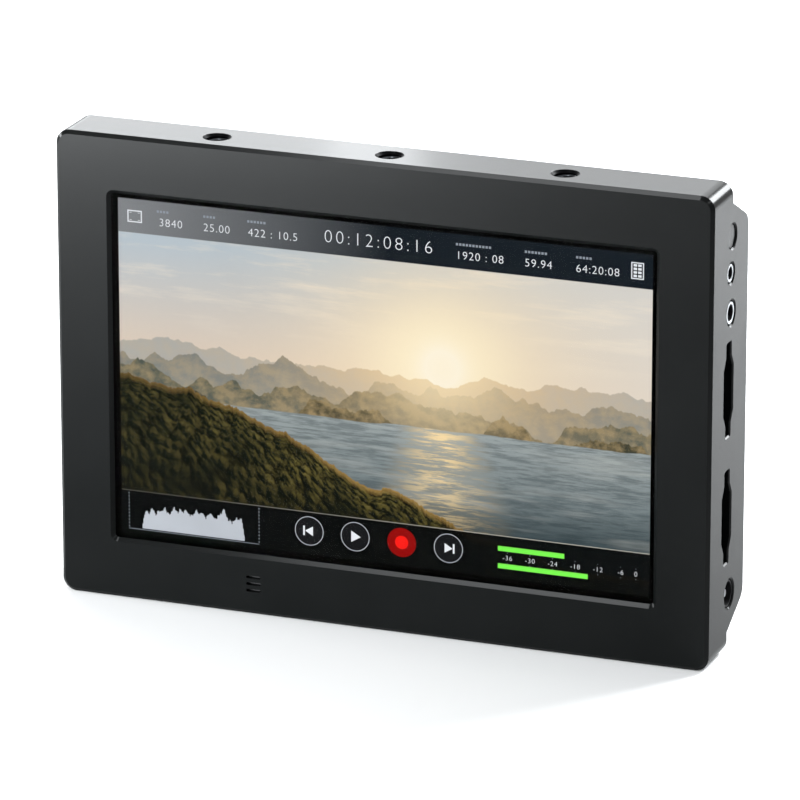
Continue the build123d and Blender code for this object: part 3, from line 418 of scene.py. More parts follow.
THREAD_STEP, THREAD_Y = 49.0, -7.0
THREAD_REACH, PAINT_EDGE = 4.3, 0.04
tree = Tree(finishes["body_metal"].node_tree)
x, y, z = tree.split(tree.place())
across_thread = tree.sum("PINGPONG", x, THREAD_STEP / 2 * MM)
away = distance_from(tree, across_thread, y, 0.0, THREAD_Y * MM)
depth_in = tree.sum("MINIMUM", tree.minus(z, body_low.z), tree.minus(body_high.z, z))
near = tree.sum("LESS_THAN", away, THREAD_REACH * MM)
inside = tree.times(near, tree.sum("GREATER_THAN", depth_in, PAINT_EDGE * MM))
tint_by_mask(tree, shader_of(finishes["body_metal"]), inside, (5, 5, 6), 0.4)
print("linings laid")

# %% [markdown]
# ## Circuit boards
# A board is fibre and resin under green lacquer, with copper tracks that lift the lacquer slightly. A brick pattern
# of thin lines reads as tracks, and a regular set of dots as plated holes.

# %% Board, chips, ribbon and pads
def follow(tree, shader, height, low, high, gloss, relief, reach):
    """Colour and roughness go with one height, which also lifts the surface."""
    rough = tree.fit(height, 0.0, 1.0, *gloss)
    surface(tree, shader, tree.mix(height, low, high), rough, height, relief, reach)


def board_finish():
    tree, shader = new_finish("board_green", Coat_Weight=0.3)
    spot = tree.place()
    bent = tree.plus(tree.split(spot)[0], tree.times(tree.noise(spot, 120.0), 0.004))
    tracks = tree.sum("PINGPONG", bent, 0.6 * MM)
    raised = tree.fit(tracks, 0.26 * MM, 0.34 * MM)
    region = tree.fit(tree.noise(spot, 90.0), 0.48, 0.52)
    copper = tree.times(raised, region)
    holes = tree.add("ShaderNodeTexVoronoi", {"feature": "F1"}, Vector=spot, Scale=240.0)
    dots = tree.fit(holes.outputs["Distance"], 0.08, 0.11, 1.0, 0.0)
    tree.feed(shader["Metallic"], tree.times(dots, 0.8))
    follow(tree, shader, copper, (14, 58, 34), (30, 92, 54), (0.42, 0.30), 0.4, 0.04)


def ribbon_finish():
    tree, shader = new_finish("ribbon_film", Coat_Weight=0.4)
    x = tree.split(tree.place())[0]
    track = tree.fit(tree.sum("PINGPONG", x, 0.25 * MM), 0.10 * MM, 0.14 * MM)
    follow(tree, shader, track, (150, 84, 28), (190, 122, 48), (0.38, 0.28), 0.3, 0.02)


def pad_finish(slot, dark, light, cells, relief, rough):
    """Soft foam or filled silicone: small cells with darker walls."""
    tree, shader = new_finish(slot, Sheen_Weight=0.2)
    spot = tree.place()
    foam = tree.add("ShaderNodeTexVoronoi", {"feature": "SMOOTH_F1"}, Vector=spot, Scale=cells)
    cell = foam.outputs["Distance"]
    gloss = tree.fit(cell, 0.0, 0.8, rough - 0.06, rough + 0.06)
    surface(tree, shader, tree.mix(tree.fit(cell, 0.1, 0.7), light, dark), gloss, cell, relief, 0.15)


board_finish()
ribbon_finish()
pad_finish("pad_grey", (104, 110, 118), (128, 134, 142), 2600.0, 0.3, 0.75)
pad_finish("gasket_foam", (20, 20, 21), (40, 40, 42), 2200.0, 0.7, 0.9)
pad_finish("black_tape", (12, 12, 13), (24, 24, 26), 3000.0, 0.4, 0.8)
skin("chip_black", (24, 24, 26), (32, 32, 34), (0.50, 0.66), 0.16, 0.25)
print("finishes so far:", len(finishes))

# %% [markdown]
# ## Speaker cloth
# Behind the three slots lies a fine acoustic cloth. Two sets of threads cross, over and under, and the height
# follows the thread that is on top.

# %% Cloth, light guide and films
def cloth_finish():
    tree, shader = new_finish("mesh_cloth", Sheen_Weight=0.3)
    x, y, z = tree.split(tree.place())
    pitch = 0.16 * MM
    across = tree.sum("PINGPONG", x, pitch / 2)
    upright = tree.sum("PINGPONG", z, pitch / 2)
    weave = tree.times(across, upright)
    height = tree.fit(weave, 0.0, (pitch / 2) ** 2)
    follow(tree, shader, height, (6, 6, 7), (34, 34, 36), (0.95, 0.75), 0.6, 0.05)


def light_guide_finish():
    """White acrylic with printed dots that grow away from the lamps."""
    tree, shader = new_finish("light_guide", Coat_Weight=0.5)
    spot = tree.place()
    dots = tree.add("ShaderNodeTexVoronoi", {"feature": "F1"}, Vector=spot, Scale=1100.0, Randomness=0.0)
    size = tree.fit(tree.split(spot)[2], body_low.z, body_high.z, 0.2, 0.42)
    printed = tree.sum("LESS_THAN", dots.outputs["Distance"], size)
    tint = tree.mix(printed, (214, 220, 224), (244, 246, 248))
    surface(tree, shader, tint, tree.fit(printed, 0.0, 1.0, 0.2, 0.5))


def touch_finish():
    """A clear film. Only its fine wire grid takes any light."""
    tree, shader = new_finish("touch_film", Roughness=0.3, Specular_IOR_Level=0.0)
    x, y, z = tree.split(tree.place())
    pitch = 2.2 * MM
    near = tree.sum("MINIMUM", tree.sum("PINGPONG", x, pitch), tree.sum("PINGPONG", z, pitch))
    wire = tree.fit(near, 0.02 * MM, 0.05 * MM, 0.003, 0.0)
    tree.feed(shader["Base Color"], tree.mix(wire, (10, 10, 12), (60, 60, 66)))
    tree.feed(shader["Alpha"], wire)


def glass_finish():
    """Cover glass, coated so that it mirrors less than bare glass. Finger marks only dull its coat."""
    coated = {"IOR": 1.07, "Coat_Roughness": 0.35, "Coat_IOR": 1.2}
    tree, shader = new_finish("screen_glass", Transmission_Weight=1.0, Roughness=0.0, **coated)
    handled = use_group(tree, marks, Cover=0.3, Size=0.03)
    tree.feed(shader["Base Color"], tree.mix(handled["Smudge"], (1.0, 1.0, 1.0, 1.0), (0.97, 0.97, 0.97, 1.0)))
    tree.feed(shader["Coat Weight"], tree.times(handled["Smudge"], 0.12))


cloth_finish()
light_guide_finish()
touch_finish()
glass_finish()
print("finishes so far:", len(finishes))

# %% [markdown]
# ## The picture on the screen
# A lit panel is a plane that gives off light, so the picture is an emission colour, worked out from the place on
# the panel.
# The scene is a mountain lake at sunset, built back to front as a painter would: sky, sun, clouds, ridges, water,
# and a wooded hill at the left.
# Land gets its relief from two samples of one noise, the second a step nearer the sun: where the ground falls away
# towards the sun it is lit.

# %% Sky, sun and clouds
LIT = {"Base_Color": colour(1, 1, 1), "Specular_IOR_Level": 0.0, "Emission_Strength": 1.0}
paint, screen_shader = new_finish("display", Roughness=0.35, **LIT)
mix, fit, noise = paint.mix, paint.fit, paint.noise
times, plus, minus = paint.times, paint.plus, paint.minus
across_m, depth_m, up_m = paint.split(paint.place())
# The picture's own measure: its height is 1, and its middle is at 0 across
across = paint.sum("DIVIDE", across_m, picture_height)
up = paint.sum("DIVIDE", minus(up_m, picture_foot), picture_height)
SUN_ACROSS, SUN_UP = 0.18, 0.60
WATER_LINE = 0.42


def picture_place(wide, tall, seed=0.0, height=up):
    """Coordinates for a pattern: cells per picture height, across and up."""
    return paint.join(times(across, wide), seed, times(height, tall))


def sun_glow(reach, flatten=1.0):
    """Light that fades away from the sun, over a reach in screen heights."""
    dx = minus(across, SUN_ACROSS)
    dz = times(minus(up, SUN_UP), flatten)
    squared = plus(times(dx, dx), times(dz, dz))
    return paint.sum("EXPONENT", times(squared, -1.0 / reach ** 2))


def relief(place, towards_sun, scale, detail, contrast):
    """How far the ground faces the sun, 0 to 1, from two samples of one noise."""
    here = noise(place, scale, detail, 0.62)
    nearer = noise(paint.vector("ADD", place, towards_sun), scale, detail, 0.62)
    return fit(minus(here, nearer), -contrast, contrast)


halo = sun_glow(0.42, 1.2)
glow = sun_glow(0.17, 1.1)
core = sun_glow(0.06)
sky = mix(fit(up, 0.50, 0.88), (228, 207, 184), (184, 196, 204))
sky = mix(fit(across, -0.1, 0.8, 0.0, 0.7), sky, (224, 216, 205))
wisps = fit(noise(picture_place(1.1, 9.0), 2.2, 6.0, 0.62), 0.50, 0.70)
wisps = times(wisps, fit(up, 0.60, 0.76, 0.0, 0.75))
sky = mix(wisps, sky, (238, 228, 212))
sky = mix(times(halo, 0.72), sky, (251, 227, 186))
sky = mix(glow, sky, (255, 244, 214))
sky = mix(paint.sum("MULTIPLY", core, 2.0, clamp=True), sky, (255, 254, 248))
print("sky painted")

# %% [markdown]
# Each ridge is a height line made by one-dimensional noise, and everything under the line gets that ridge's colour.
# Far ridges are pale with haze, and each nearer one is darker.
# The halo of the sun is laid over every ridge too, with less strength as they come nearer.

# %% Ridges
picture = sky
ridges = [
    # middle height, swing, waves, seed, colour, haze share
    (0.575, 0.10, 2.4, 3.1, (176, 174, 168), 0.62),
    (0.530, 0.13, 3.1, 8.6, (126, 130, 126), 0.44),
    (0.480, 0.15, 2.7, 21.3, (80, 88, 80), 0.28),
    (0.425, 0.14, 3.6, 34.9, (44, 52, 42), 0.16),
]
for middle, swing, waves, seed, tint, haze in ridges:
    along = plus(times(across, waves), seed)
    sway = minus(noise(along, 1.0, 8.0, 0.55, "1D"), 0.5)
    line = plus(middle, times(sway, swing * 2))
    under = minus(line, up)
    facing = relief(picture_place(7.0, 9.0, seed), (0.10, 0.0, 0.12), 1.6, 7.0, 0.10)
    ground = mix(times(facing, 0.55 - haze * 0.6), tint, (206, 178, 128))
    ground = mix(times(halo, haze), ground, (244, 204, 142))
    ground = mix(fit(under, 0.0, 0.12, 0.0, haze * 0.5), ground, (190, 184, 170))
    picture = mix(fit(under, 0.0, 0.003), picture, ground)
picture = mix(times(glow, 0.60), picture, (255, 236, 194))
print("ridges painted:", len(ridges))

# %% [markdown]
# Water mirrors the sky but darker, and ripples look longer and closer together towards the far shore. Under the sun
# a broken path of light runs to the viewer.

# %% Water
depth = fit(up, WATER_LINE, 0.10)
water = mix(depth, (158, 167, 167), (66, 84, 90))
fine_waves = noise(picture_place(9.0, 95.0, 4.0), 1.4, 6.0, 0.65)
long_waves = noise(picture_place(2.0, 20.0, 9.0), 1.0, 4.0, 0.6)
water = mix(fit(fine_waves, 0.42, 0.60, 0.0, 0.45), water, (44, 58, 64))
water = mix(fit(long_waves, 0.50, 0.66, 0.0, 0.40), water, (182, 186, 182))
off_path = paint.sum("ABSOLUTE", minus(across, SUN_ACROSS))
path = fit(off_path, 0.0, fit(depth, 0.0, 1.0, 0.14, 0.26), 1.0, 0.0, "SMOOTHSTEP")
sparkle = times(path, fit(fine_waves, 0.44, 0.58, 0.15, 1.0))
sparkle = times(sparkle, fit(depth, 0.0, 1.0, 0.95, 0.45))
water = mix(sparkle, water, (255, 226, 170))
shore_noise = noise(times(across, 5.0), 1.0, 4.0, 0.5, "1D")
shore = plus(WATER_LINE - 0.01, times(shore_noise, 0.02))
picture = mix(fit(minus(shore, up), 0.0, 0.003), picture, water)
print("water painted")

# %% [markdown]
# The near hill rises to the left under a close cover of trees. Round cells make the crowns, noise breaks them up,
# and the same two-sample trick lights the side that faces the sun.
# Crowns look smaller towards the top of the hill, so their pattern is read along the square root of the distance
# below it.

# %% Near hill
rise = fit(across, 0.62, -0.80, -0.02, 0.40, "SMOOTHSTEP")
swells = noise(times(across, 4.0), 1.0, 3.0, 0.5, "1D")
crown_line = noise(times(across, 64.0), 1.0, 3.0, 0.7, "1D")
hill_top = plus(rise, times(swells, 0.13))
hill_top = plus(hill_top, times(crown_line, 0.020))
below_top = minus(hill_top, up)
stretched = paint.sum("SQRT", paint.sum("MAXIMUM", below_top, 0.0))
crown_place = picture_place(34.0, 30.0, 2.0, stretched)


def crowns(place):
    cells = paint.add("ShaderNodeTexVoronoi", {"feature": "SMOOTH_F1"}, Vector=place, Scale=1.0, Smoothness=0.3)
    rough = noise(place, 2.6, 5.0, 0.7)
    return minus(times(rough, 0.9), cells.outputs["Distance"])


here = crowns(crown_place)
nearer = crowns(paint.vector("ADD", crown_place, (0.22, 0.0, -0.20)))
lit_crowns = fit(minus(here, nearer), -0.16, 0.34)
patches = fit(noise(picture_place(3.0, 5.0, 7.0), 1.3, 4.0, 0.6), 0.38, 0.60, 0.15, 1.0)
to_sun = fit(across, -0.75, 0.35, 0.30, 1.0)
lit_crowns = times(lit_crowns, times(patches, to_sun))
hill = mix(lit_crowns, (21, 26, 18), (138, 124, 62))
hill = mix(fit(here, -0.35, -0.10, 0.6, 0.0), hill, (9, 11, 8))
rim_light = times(fit(below_top, 0.0, 0.022, 0.75, 0.0), to_sun)
hill = mix(rim_light, hill, (206, 164, 92))
hill = mix(fit(below_top, 0.05, 0.40, 0.0, 0.55), hill, (14, 17, 14))
picture = mix(fit(below_top, 0.0, 0.003), picture, hill)
print("hill painted")

# %% [markdown]
# The recorder lays a dark strip over the picture at the top, and an almost black one with a fine light line along
# its top at the foot. The top strip is painted lighter grey at the left: a painted reflection on the glass.
# Around the lit area the panel is black.

# %% Strips and border
HEAD_STRIP, FOOT_STRIP, FADE = 0.90, 0.127, 0.12
# Painted reflection: the strip's grey at the left stands in for a light mirrored in the glass.
strip_with_painted_reflection = mix(fit(across, -0.80, 0.02), (130, 133, 136), (20, 27, 34))
picture = mix(fit(up, HEAD_STRIP - 0.001, HEAD_STRIP + 0.001), picture, strip_with_painted_reflection)
foot_tint = (8, 10, 10)
picture = mix(fit(up, FOOT_STRIP + 0.0005, FOOT_STRIP - 0.0005, 0.0, 0.985), picture, foot_tint)
picture = mix(fit(up, FOOT_STRIP + FADE, FOOT_STRIP, 0.0, 0.35), picture, foot_tint)
line_gap = paint.sum("ABSOLUTE", minus(up, FOOT_STRIP))
line_light = fit(across, -0.6, 0.5, 0.10, 0.60)
fine_line = times(fit(line_gap, 0.0008, 0.0016, 1.0, 0.0), line_light)
picture = mix(fine_line, picture, (226, 222, 208))
uneven = fit(noise(paint.place(), 18.0, 2.0), 0.3, 0.7, 0.0, 0.05)
picture = mix(uneven, picture, (0, 0, 0))
off_side = minus(picture_right, paint.sum("ABSOLUTE", across_m))
above_foot = minus(up_m, picture_foot)
off_ends = paint.sum("MINIMUM", above_foot, minus(picture_head, up_m))
lit = fit(paint.sum("MINIMUM", off_side, off_ends), 0.0, 0.05 * MM)
lit = times(lit, paint.sum("LESS_THAN", depth_m, panel_face + 0.1 * MM))
paint.feed(screen_shader["Emission Color"], mix(lit, (0, 0, 0), picture))
print("screen nodes:", len(paint.tree.nodes))

# %% [markdown]
# ## Put the finishes on the solids
# Every solid names its finish in a material slot of the record, so one loop dresses them all.

# %% Dress the solids
dressed = 0
for name, solid in frame["nodes"].items():
    for slot in solid.material_slots:
        wanted = slot.material.name.split(".")[0] if slot.material else ""
        if wanted not in finishes:
            print("no finish for", name, wanted)
            continue
        slot.link = "OBJECT"
        slot.material = finishes[wanted]
        dressed += 1
print("dressed slots:", dressed)

# %% [markdown]
# ## Flat shapes on the panel
# The recorder draws its controls over the picture. Each kind is a thin sheet that lies on the panel, made from
# outlines in millimetres, counted from the body's middle and up from its base.
# Faces are drawn in the plane of the screen and pushed back a little, so that each sheet is a closed solid with its
# faces outwards.

# %% Outlines and sheets
def ring_of_points(x, z, radius, count):
    turns = [math.tau * n / count for n in range(count)]
    return [(x + radius * math.cos(turn), z + radius * math.sin(turn)) for turn in turns]


def band(outer, inner):
    """Four-cornered faces between two outlines that have as many corners."""
    after = [(n + 1) % len(outer) for n in range(len(outer))]
    return [[outer[n], outer[m], inner[m], inner[n]] for n, m in enumerate(after)]


def disc(x, z, radius):
    return [ring_of_points(x, z, radius, 48)]


def hoop(x, z, radius, stroke):
    return band(ring_of_points(x, z, radius, 64), ring_of_points(x, z, radius - stroke, 64))


def bar(x0, z0, x1, z1):
    return [[(x0, z0), (x1, z0), (x1, z1), (x0, z1)]]


def frame_of_bars(x0, z0, x1, z1, stroke):
    inner = bar(x0 + stroke, z0 + stroke, x1 - stroke, z1 - stroke)
    return band(bar(x0, z0, x1, z1)[0], inner[0])


print("outlines ready")

# %% [markdown]
# A sheet is 0.015 mm thick. Layer 1 lies on the panel, and layer 2 stands as much prouder again, so that a rim or a
# sign never shares its face with the disc behind it. Every sheet goes a few thousandths into the panel.

# %% Sheets on the panel
SHEET = 0.015
SHEET_IN, DIGIT_IN, COLUMN_IN = 0.005, 0.004, 0.003


def lay_on_panel(name, bm, material):
    """Turn a draft mesh into a piece that lies on the panel and rides with it."""
    bmesh.ops.recalc_face_normals(bm, faces=bm.faces[:])
    mesh = bpy.data.meshes.new(name)
    bm.to_mesh(mesh)
    bm.free()
    piece = new_object(name, mesh)
    mesh.materials.append(material)
    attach(piece, "monitor")
    print(name, len(mesh.polygons), "faces")


def sheet_mesh(name, outlines, layer, material):
    """A thin closed sheet from outlines in mm, let into the panel by a hair."""
    step = SHEET * MM
    front = panel_face - layer * step
    bm = bmesh.new()
    for outline in outlines:
        corners = [bm.verts.new((x * MM, front, z * MM)) for x, z in outline]
        bm.faces.new(corners)
    bmesh.ops.remove_doubles(bm, verts=bm.verts, dist=TOUCHING)
    for face in bm.faces:
        if face.normal.y > 0:
            face.normal_flip()
    pushed = bmesh.ops.extrude_face_region(bm, geom=bm.faces[:])
    back = [item for item in pushed["geom"] if isinstance(item, bmesh.types.BMVert)]
    bmesh.ops.translate(bm, verts=back, vec=(0.0, layer * step + SHEET_IN * MM, 0.0))
    lay_on_panel(name, bm, material)


print("sheets are", SHEET, "mm thick")

# %% [markdown]
# The controls are lit by the same panel, so their finishes give off light and mirror nothing. The light is a little
# uneven, as a back light is.

# %% Lit finishes
def lit_finish(name, tint):
    """A lit colour with the slow unevenness of a back light."""
    material, tree, shader = new_material(name, Roughness=0.4, **LIT)
    uneven = tree.fit(tree.noise(tree.place(), 60.0, 2.0), 0.3, 0.7, 0.0, 0.10)
    tree.feed(shader["Emission Color"], tree.mix(uneven, tint, (0, 0, 0)))
    return material


white_light = lit_finish("lit_white", (236, 240, 244))
grey_light = lit_finish("lit_grey", (196, 202, 210))
dim_light = lit_finish("lit_dim", (148, 156, 166))
green_light = lit_finish("lit_green", (126, 250, 84))
red_light = lit_finish("lit_red", (255, 28, 20))
deep_red_light = lit_finish("lit_deep_red", (146, 12, 10))
dark_light = lit_finish("lit_dark", (24, 25, 27))
print("lit finishes ready")

# %% [markdown]
# ## The control strip
# Four round keys sit in the middle of the strip: back, play, record and forward. Their signs are the plain ones
# that any player uses.

# %% Round keys
KEY_Z, KEY_R, RIM, DOT_R = 25.1, 4.1, 0.17, 1.9
key_places = [-20.9, -7.7, 5.6, 18.9]
record_x = key_places[2]
plain_keys = [x for x in key_places if x != record_x]
sheet_mesh("key_faces", [part for x in plain_keys for part in disc(x, KEY_Z, KEY_R)], 1, dark_light)
sheet_mesh("key_rims", [part for x in plain_keys for part in hoop(x, KEY_Z, KEY_R, RIM)], 2, grey_light)
sheet_mesh("record_face", disc(record_x, KEY_Z, KEY_R), 1, deep_red_light)
sheet_mesh("record_dot", disc(record_x, KEY_Z, DOT_R), 2, red_light)


def pointer(x, way, size):
    foot, tip = x - way * size * 0.8, x + way * size * 0.9
    return [[(foot, KEY_Z - size), (tip, KEY_Z), (foot, KEY_Z + size)]]


PLAY_SIZE, SKIP_SIZE = 1.6, 1.35
STOP_NEAR, STOP_FAR = 1.25, 1.75
signs = pointer(key_places[1] + 0.15, 1, PLAY_SIZE)
for x, way in ((key_places[0], -1), (key_places[3], 1)):
    signs += pointer(x, way, SKIP_SIZE)
    stop = sorted((x + way * STOP_NEAR, x + way * STOP_FAR))
    signs += bar(stop[0], KEY_Z - SKIP_SIZE, stop[1], KEY_Z + SKIP_SIZE)
sheet_mesh("key_signs", signs, 2, white_light)

# %% [markdown]
# ## Numbers
# The built-in font gives plain digits. A text object is made a mesh first, then turned to face the viewer and laid
# on the panel, so the finished piece needs no place of its own.

# %% Digits as sheets
DIGIT_SHARE = 0.73
TURN_UP = Matrix.Rotation(math.pi / 2, 4, "X")


def digits(name, entries, material, thin=-0.016, spread=1.12):
    """entries are (text, middle x, foot z, height) in mm, all in one piece. thin moves every edge inwards."""
    step = SHEET * MM
    joined = bmesh.new()
    for text, x, z, tall in entries:
        curve = bpy.data.curves.new("digits_draft", "FONT")
        curve.body = text
        curve.align_x = "CENTER"
        curve.size = tall / DIGIT_SHARE * MM
        curve.offset = thin * tall * MM
        curve.extrude = step / 2
        curve.resolution_u = 4
        curve.space_character = spread
        draft = new_object("digits_draft", curve)
        mesh = bpy.data.meshes.new_from_object(draft.evaluated_get(bpy.context.evaluated_depsgraph_get()))
        middle = (x * MM, panel_face - step / 2 + DIGIT_IN * MM, z * MM)
        mesh.transform(Matrix.Translation(middle) @ TURN_UP)
        joined.from_mesh(mesh)
        bpy.data.objects.remove(draft)
        bpy.data.curves.remove(curve)
        bpy.data.meshes.remove(mesh)
    bmesh.ops.remove_doubles(joined, verts=joined.verts, dist=TOUCHING / 2)
    lay_on_panel(name, joined, material)


CLOCK_FOOT, CLOCK_TALL = 106.5, 3.75
HEADER_FOOT, HEADER_TALL = 105.9, 2.3
METER_FOOT, METER_TALL = 23.75, 1.4
digits("clock_digits", [("00:12:08:16", -1.0, CLOCK_FOOT, CLOCK_TALL)], white_light, -0.030, 1.27)
header_numbers = [
    ("3840", -60.2), ("25.00", -47.0), ("422 : 10.5", -30.9),
    ("1920 : 08", 27.5), ("59.94", 43.8), ("64:20:08", 60.2),
]
digits("header_digits", [(text, x, HEADER_FOOT, HEADER_TALL) for text, x in header_numbers], white_light)
METER_X, METER_STEP = 35.6, 6.35
meter_marks = [(METER_X + METER_STEP * n, str(6 * n - 36)) for n in range(6)] + [(71.6, "0")]
meter_numbers = [(text, x, METER_FOOT, METER_TALL) for x, text in meter_marks]
digits("meter_digits", meter_numbers, white_light, -0.022, 1.15)

# %% [markdown]
# ## Meters and signs
# Two green bars show the sound, and a scale of numbers stands between them. The header has small bars over its
# numbers, a picture frame at the left and a stack of cells at the right.

# %% Meters and header signs
sheet_mesh("meter_bars", bar(32.9, 26.2, 51.6, 27.6) + bar(32.9, 21.3, 58.2, 22.7), 1, green_light)
TICK = 0.18
ticks = []
for x, text in meter_marks:
    for z in (22.8, 25.75):
        ticks += bar(x - TICK / 2, z, x + TICK / 2, z + TICK)
sheet_mesh("meter_ticks", ticks, 1, dim_light)
labels = []
LABEL_STEP, LABEL_W = 0.92, 0.62
for x, count in ((-64.2, 4), (-50.8, 4), (-38.2, 6), (20.8, 11), (40.0, 7), (54.2, 5)):
    for n in range(count):
        labels += bar(x + LABEL_STEP * n, 109.6, x + LABEL_STEP * n + LABEL_W, 110.25)
sheet_mesh("header_marks", labels, 1, dim_light)
CELL_STEP, CELL_W = 0.96, 0.95
header_signs = frame_of_bars(69.4, 105.7, 72.9, 110.3, 0.3)
for x in (70.05, 71.3):
    for n in range(4):
        header_signs += bar(x, 106.25 + CELL_STEP * n, x + CELL_W, 106.9 + CELL_STEP * n)
header_signs += frame_of_bars(-72.7, 106.2, -68.5, 109.6, 0.34)
for x in (-72.1, -69.7):
    for z in (106.8, 108.85):
        header_signs += bar(x, z, x + 0.6, z + 0.15)
sheet_mesh("header_signs", header_signs, 1, white_light)

# %% [markdown]
# ## Geometry Nodes for what repeats
# Columns, thread turns and screw sockets repeat. Each comes from a node tree with named inputs, put on a mesh of a
# few points and turned into a plain mesh at the end.

# %% Helpers for geometry trees
def new_geometry_tree(name, inputs):
    tree = bpy.data.node_groups.new(name, "GeometryNodeTree")
    tree.interface.new_socket(name="Geometry", in_out="INPUT", socket_type="NodeSocketGeometry")
    add_inputs(tree, inputs)
    tree.interface.new_socket(name="Material", in_out="INPUT", socket_type="NodeSocketMaterial")
    tree.interface.new_socket(name="Geometry", in_out="OUTPUT", socket_type="NodeSocketGeometry")
    return Tree(tree), tree.nodes.new("NodeGroupInput"), tree.nodes.new("NodeGroupOutput")


def put_on_points(tree, entry, leave, points, shape, **more):
    """End a tree: the shape stands on every point, as real geometry in the piece's own material."""
    placed = tree.add("GeometryNodeInstanceOnPoints", Points=points, Instance=shape, **more).outputs[0]
    real = tree.add("GeometryNodeRealizeInstances", Geometry=placed).outputs[0]
    painted = tree.add("GeometryNodeSetMaterial", Geometry=real, Material=entry.outputs["Material"]).outputs[0]
    tree.feed(leave.inputs["Geometry"], painted)


def grow(name, points, tree, body, slot, **values):
    """Put a tree on a mesh of points in mm, set its inputs, and keep the result as a plain mesh."""
    seed_mesh = bpy.data.meshes.new(name + "_points")
    seed_mesh.from_pydata([(x * MM, y * MM, z * MM) for x, y, z in points], [], [])
    piece = new_object(name, seed_mesh)
    modifier = piece.modifiers.new("grow", "NODES")
    modifier.node_group = tree.tree
    for item in tree.tree.interface.items_tree:
        label = item.name.replace(" ", "_")
        if item.in_out == "INPUT" and label in values:
            modifier[item.identifier] = values[label]
    graph = bpy.context.evaluated_depsgraph_get()
    mesh = bpy.data.meshes.new_from_object(piece.evaluated_get(graph))
    piece.modifiers.remove(modifier)
    mesh.name = name
    piece.data = mesh
    bpy.data.meshes.remove(seed_mesh)
    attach(piece, body)
    print(name, len(mesh.polygons), "faces")


print("tree helpers ready")

# %% [markdown]
# The histogram is a row of thin columns: a cube on each point, as tall as a smooth noise at its place, and low at
# both ends. The cubes stand on the base line because they are moved up by half their height.

# %% Histogram columns
columns, entry, leave = new_geometry_tree("histogram_columns", {
    "Column": 0.0003, "Tallest": 0.01, "Middle": 0.0, "Half Width": 0.02, "Thickness": 0.00002, "Seed": 4.0,
})
where = columns.add("GeometryNodeInputPosition").outputs[0]
x_here = columns.split(where)[0]
off = columns.sum("DIVIDE", columns.minus(x_here, entry.outputs["Middle"]), entry.outputs["Half Width"])
SHOULDER, WAVES_PER_METRE, LEAST = 22.0, 190.0, 0.1 * MM
hump = columns.minus(1.0, columns.sum("POWER", columns.sum("ABSOLUTE", off), SHOULDER))
along = columns.plus(columns.times(x_here, WAVES_PER_METRE), entry.outputs["Seed"])
wave = columns.noise(along, 1.0, 5.0, 0.58, "1D")
share = columns.times(hump, columns.fit(wave, 0.30, 0.70, 0.34, 1.0))
height = columns.sum("MAXIMUM", columns.times(share, entry.outputs["Tallest"]), LEAST)
cube = columns.add("GeometryNodeMeshCube").outputs["Mesh"]
# The size is kept before the columns move, because the height is read from the place
size_kept = columns.add("GeometryNodeCaptureAttribute", Geometry=entry.outputs["Geometry"])
size_kept.capture_items.new("VECTOR", "size")
columns.feed(size_kept.inputs[1], columns.join(entry.outputs["Column"], entry.outputs["Thickness"], height))
lift = columns.join(0.0, 0.0, columns.times(height, 0.5))
stood = columns.add("GeometryNodeSetPosition", Geometry=size_kept.outputs[0], Offset=lift)
put_on_points(columns, entry, leave, stood.outputs[0], cube, Scale=size_kept.outputs[1])
print("made", columns.tree.name)

# %% Histogram and its rules
GRAPH_LEFT, GRAPH_RIGHT, GRAPH_FOOT = -69.4, -39.6, 19.9
COLUMNS = 110
gap = (GRAPH_RIGHT - GRAPH_LEFT) / COLUMNS
line_y = panel_face / MM - SHEET / 2 + COLUMN_IN
graph = {
    "Column": gap * 0.98 * MM,
    "Tallest": 9.2 * MM,
    "Middle": (GRAPH_LEFT + GRAPH_RIGHT) / 2 * MM,
    "Half_Width": (GRAPH_RIGHT - GRAPH_LEFT) / 2 * MM,
    "Thickness": SHEET * MM,
    "Seed": 4.0,
    "Material": grey_light,
}
line = [(GRAPH_LEFT + gap * (n + 0.5), line_y, GRAPH_FOOT) for n in range(COLUMNS)]
grow("histogram_columns", line, columns, "monitor", "display", **graph)
DOT, DOT_STEP = 0.3, 0.95
rule_lines = bar(-73.4, 19.45, -35.4, 19.6)
for x in (-73.4, -35.55):
    for n in range(11):
        rule_lines += bar(x, 20.0 + DOT_STEP * n, x + DOT, 20.0 + DOT + DOT_STEP * n)
sheet_mesh("histogram_rules", rule_lines, 1, dim_light)

# %% [markdown]
# ## Thread turns
# The camera threads are quarter inch, with 20 turns to the inch. On the real part the turns catch the light inside
# the hole. A spiral carries a profile that is wide at the wall and narrow at its crest, in shares of the pitch.

# %% Thread turns
thread_sizes = {"Pitch": 0.00127, "Turns": 6.0, "Wall Radius": 0.003175, "Crest Depth": 0.0006}
thread, entry, leave = new_geometry_tree("thread_turns", thread_sizes)
pitch, turns, wall, crest = (entry.outputs[label] for label in thread_sizes)
path = {"Rotations": turns, "Height": thread.times(pitch, turns), "Start_Radius": wall, "End_Radius": wall}
spiral = thread.add("GeometryNodeCurveSpiral", Resolution=40, **path)
upright = thread.add("GeometryNodeSetCurveNormal", {"mode": "Z_UP"}, Curve=spiral.outputs[0])
AT_WALL, AT_CREST = 0.86, 0.20
section = {"Bottom_Width": thread.times(pitch, AT_WALL), "Top_Width": thread.times(pitch, AT_CREST), "Height": crest}
profile = thread.add("GeometryNodeCurvePrimitiveQuadrilateral", {"mode": "TRAPEZOID"}, Offset=0.0, **section)
turned = thread.add("GeometryNodeTransform", Geometry=profile.outputs[0], Rotation=(0.0, 0.0, math.pi / 2))
sweep = {"Curve": upright.outputs[0], "Profile_Curve": turned.outputs[0], "Fill_Caps": True}
swept = thread.add("GeometryNodeCurveToMesh", **sweep)
put_on_points(thread, entry, leave, entry.outputs["Geometry"], swept.outputs[0])

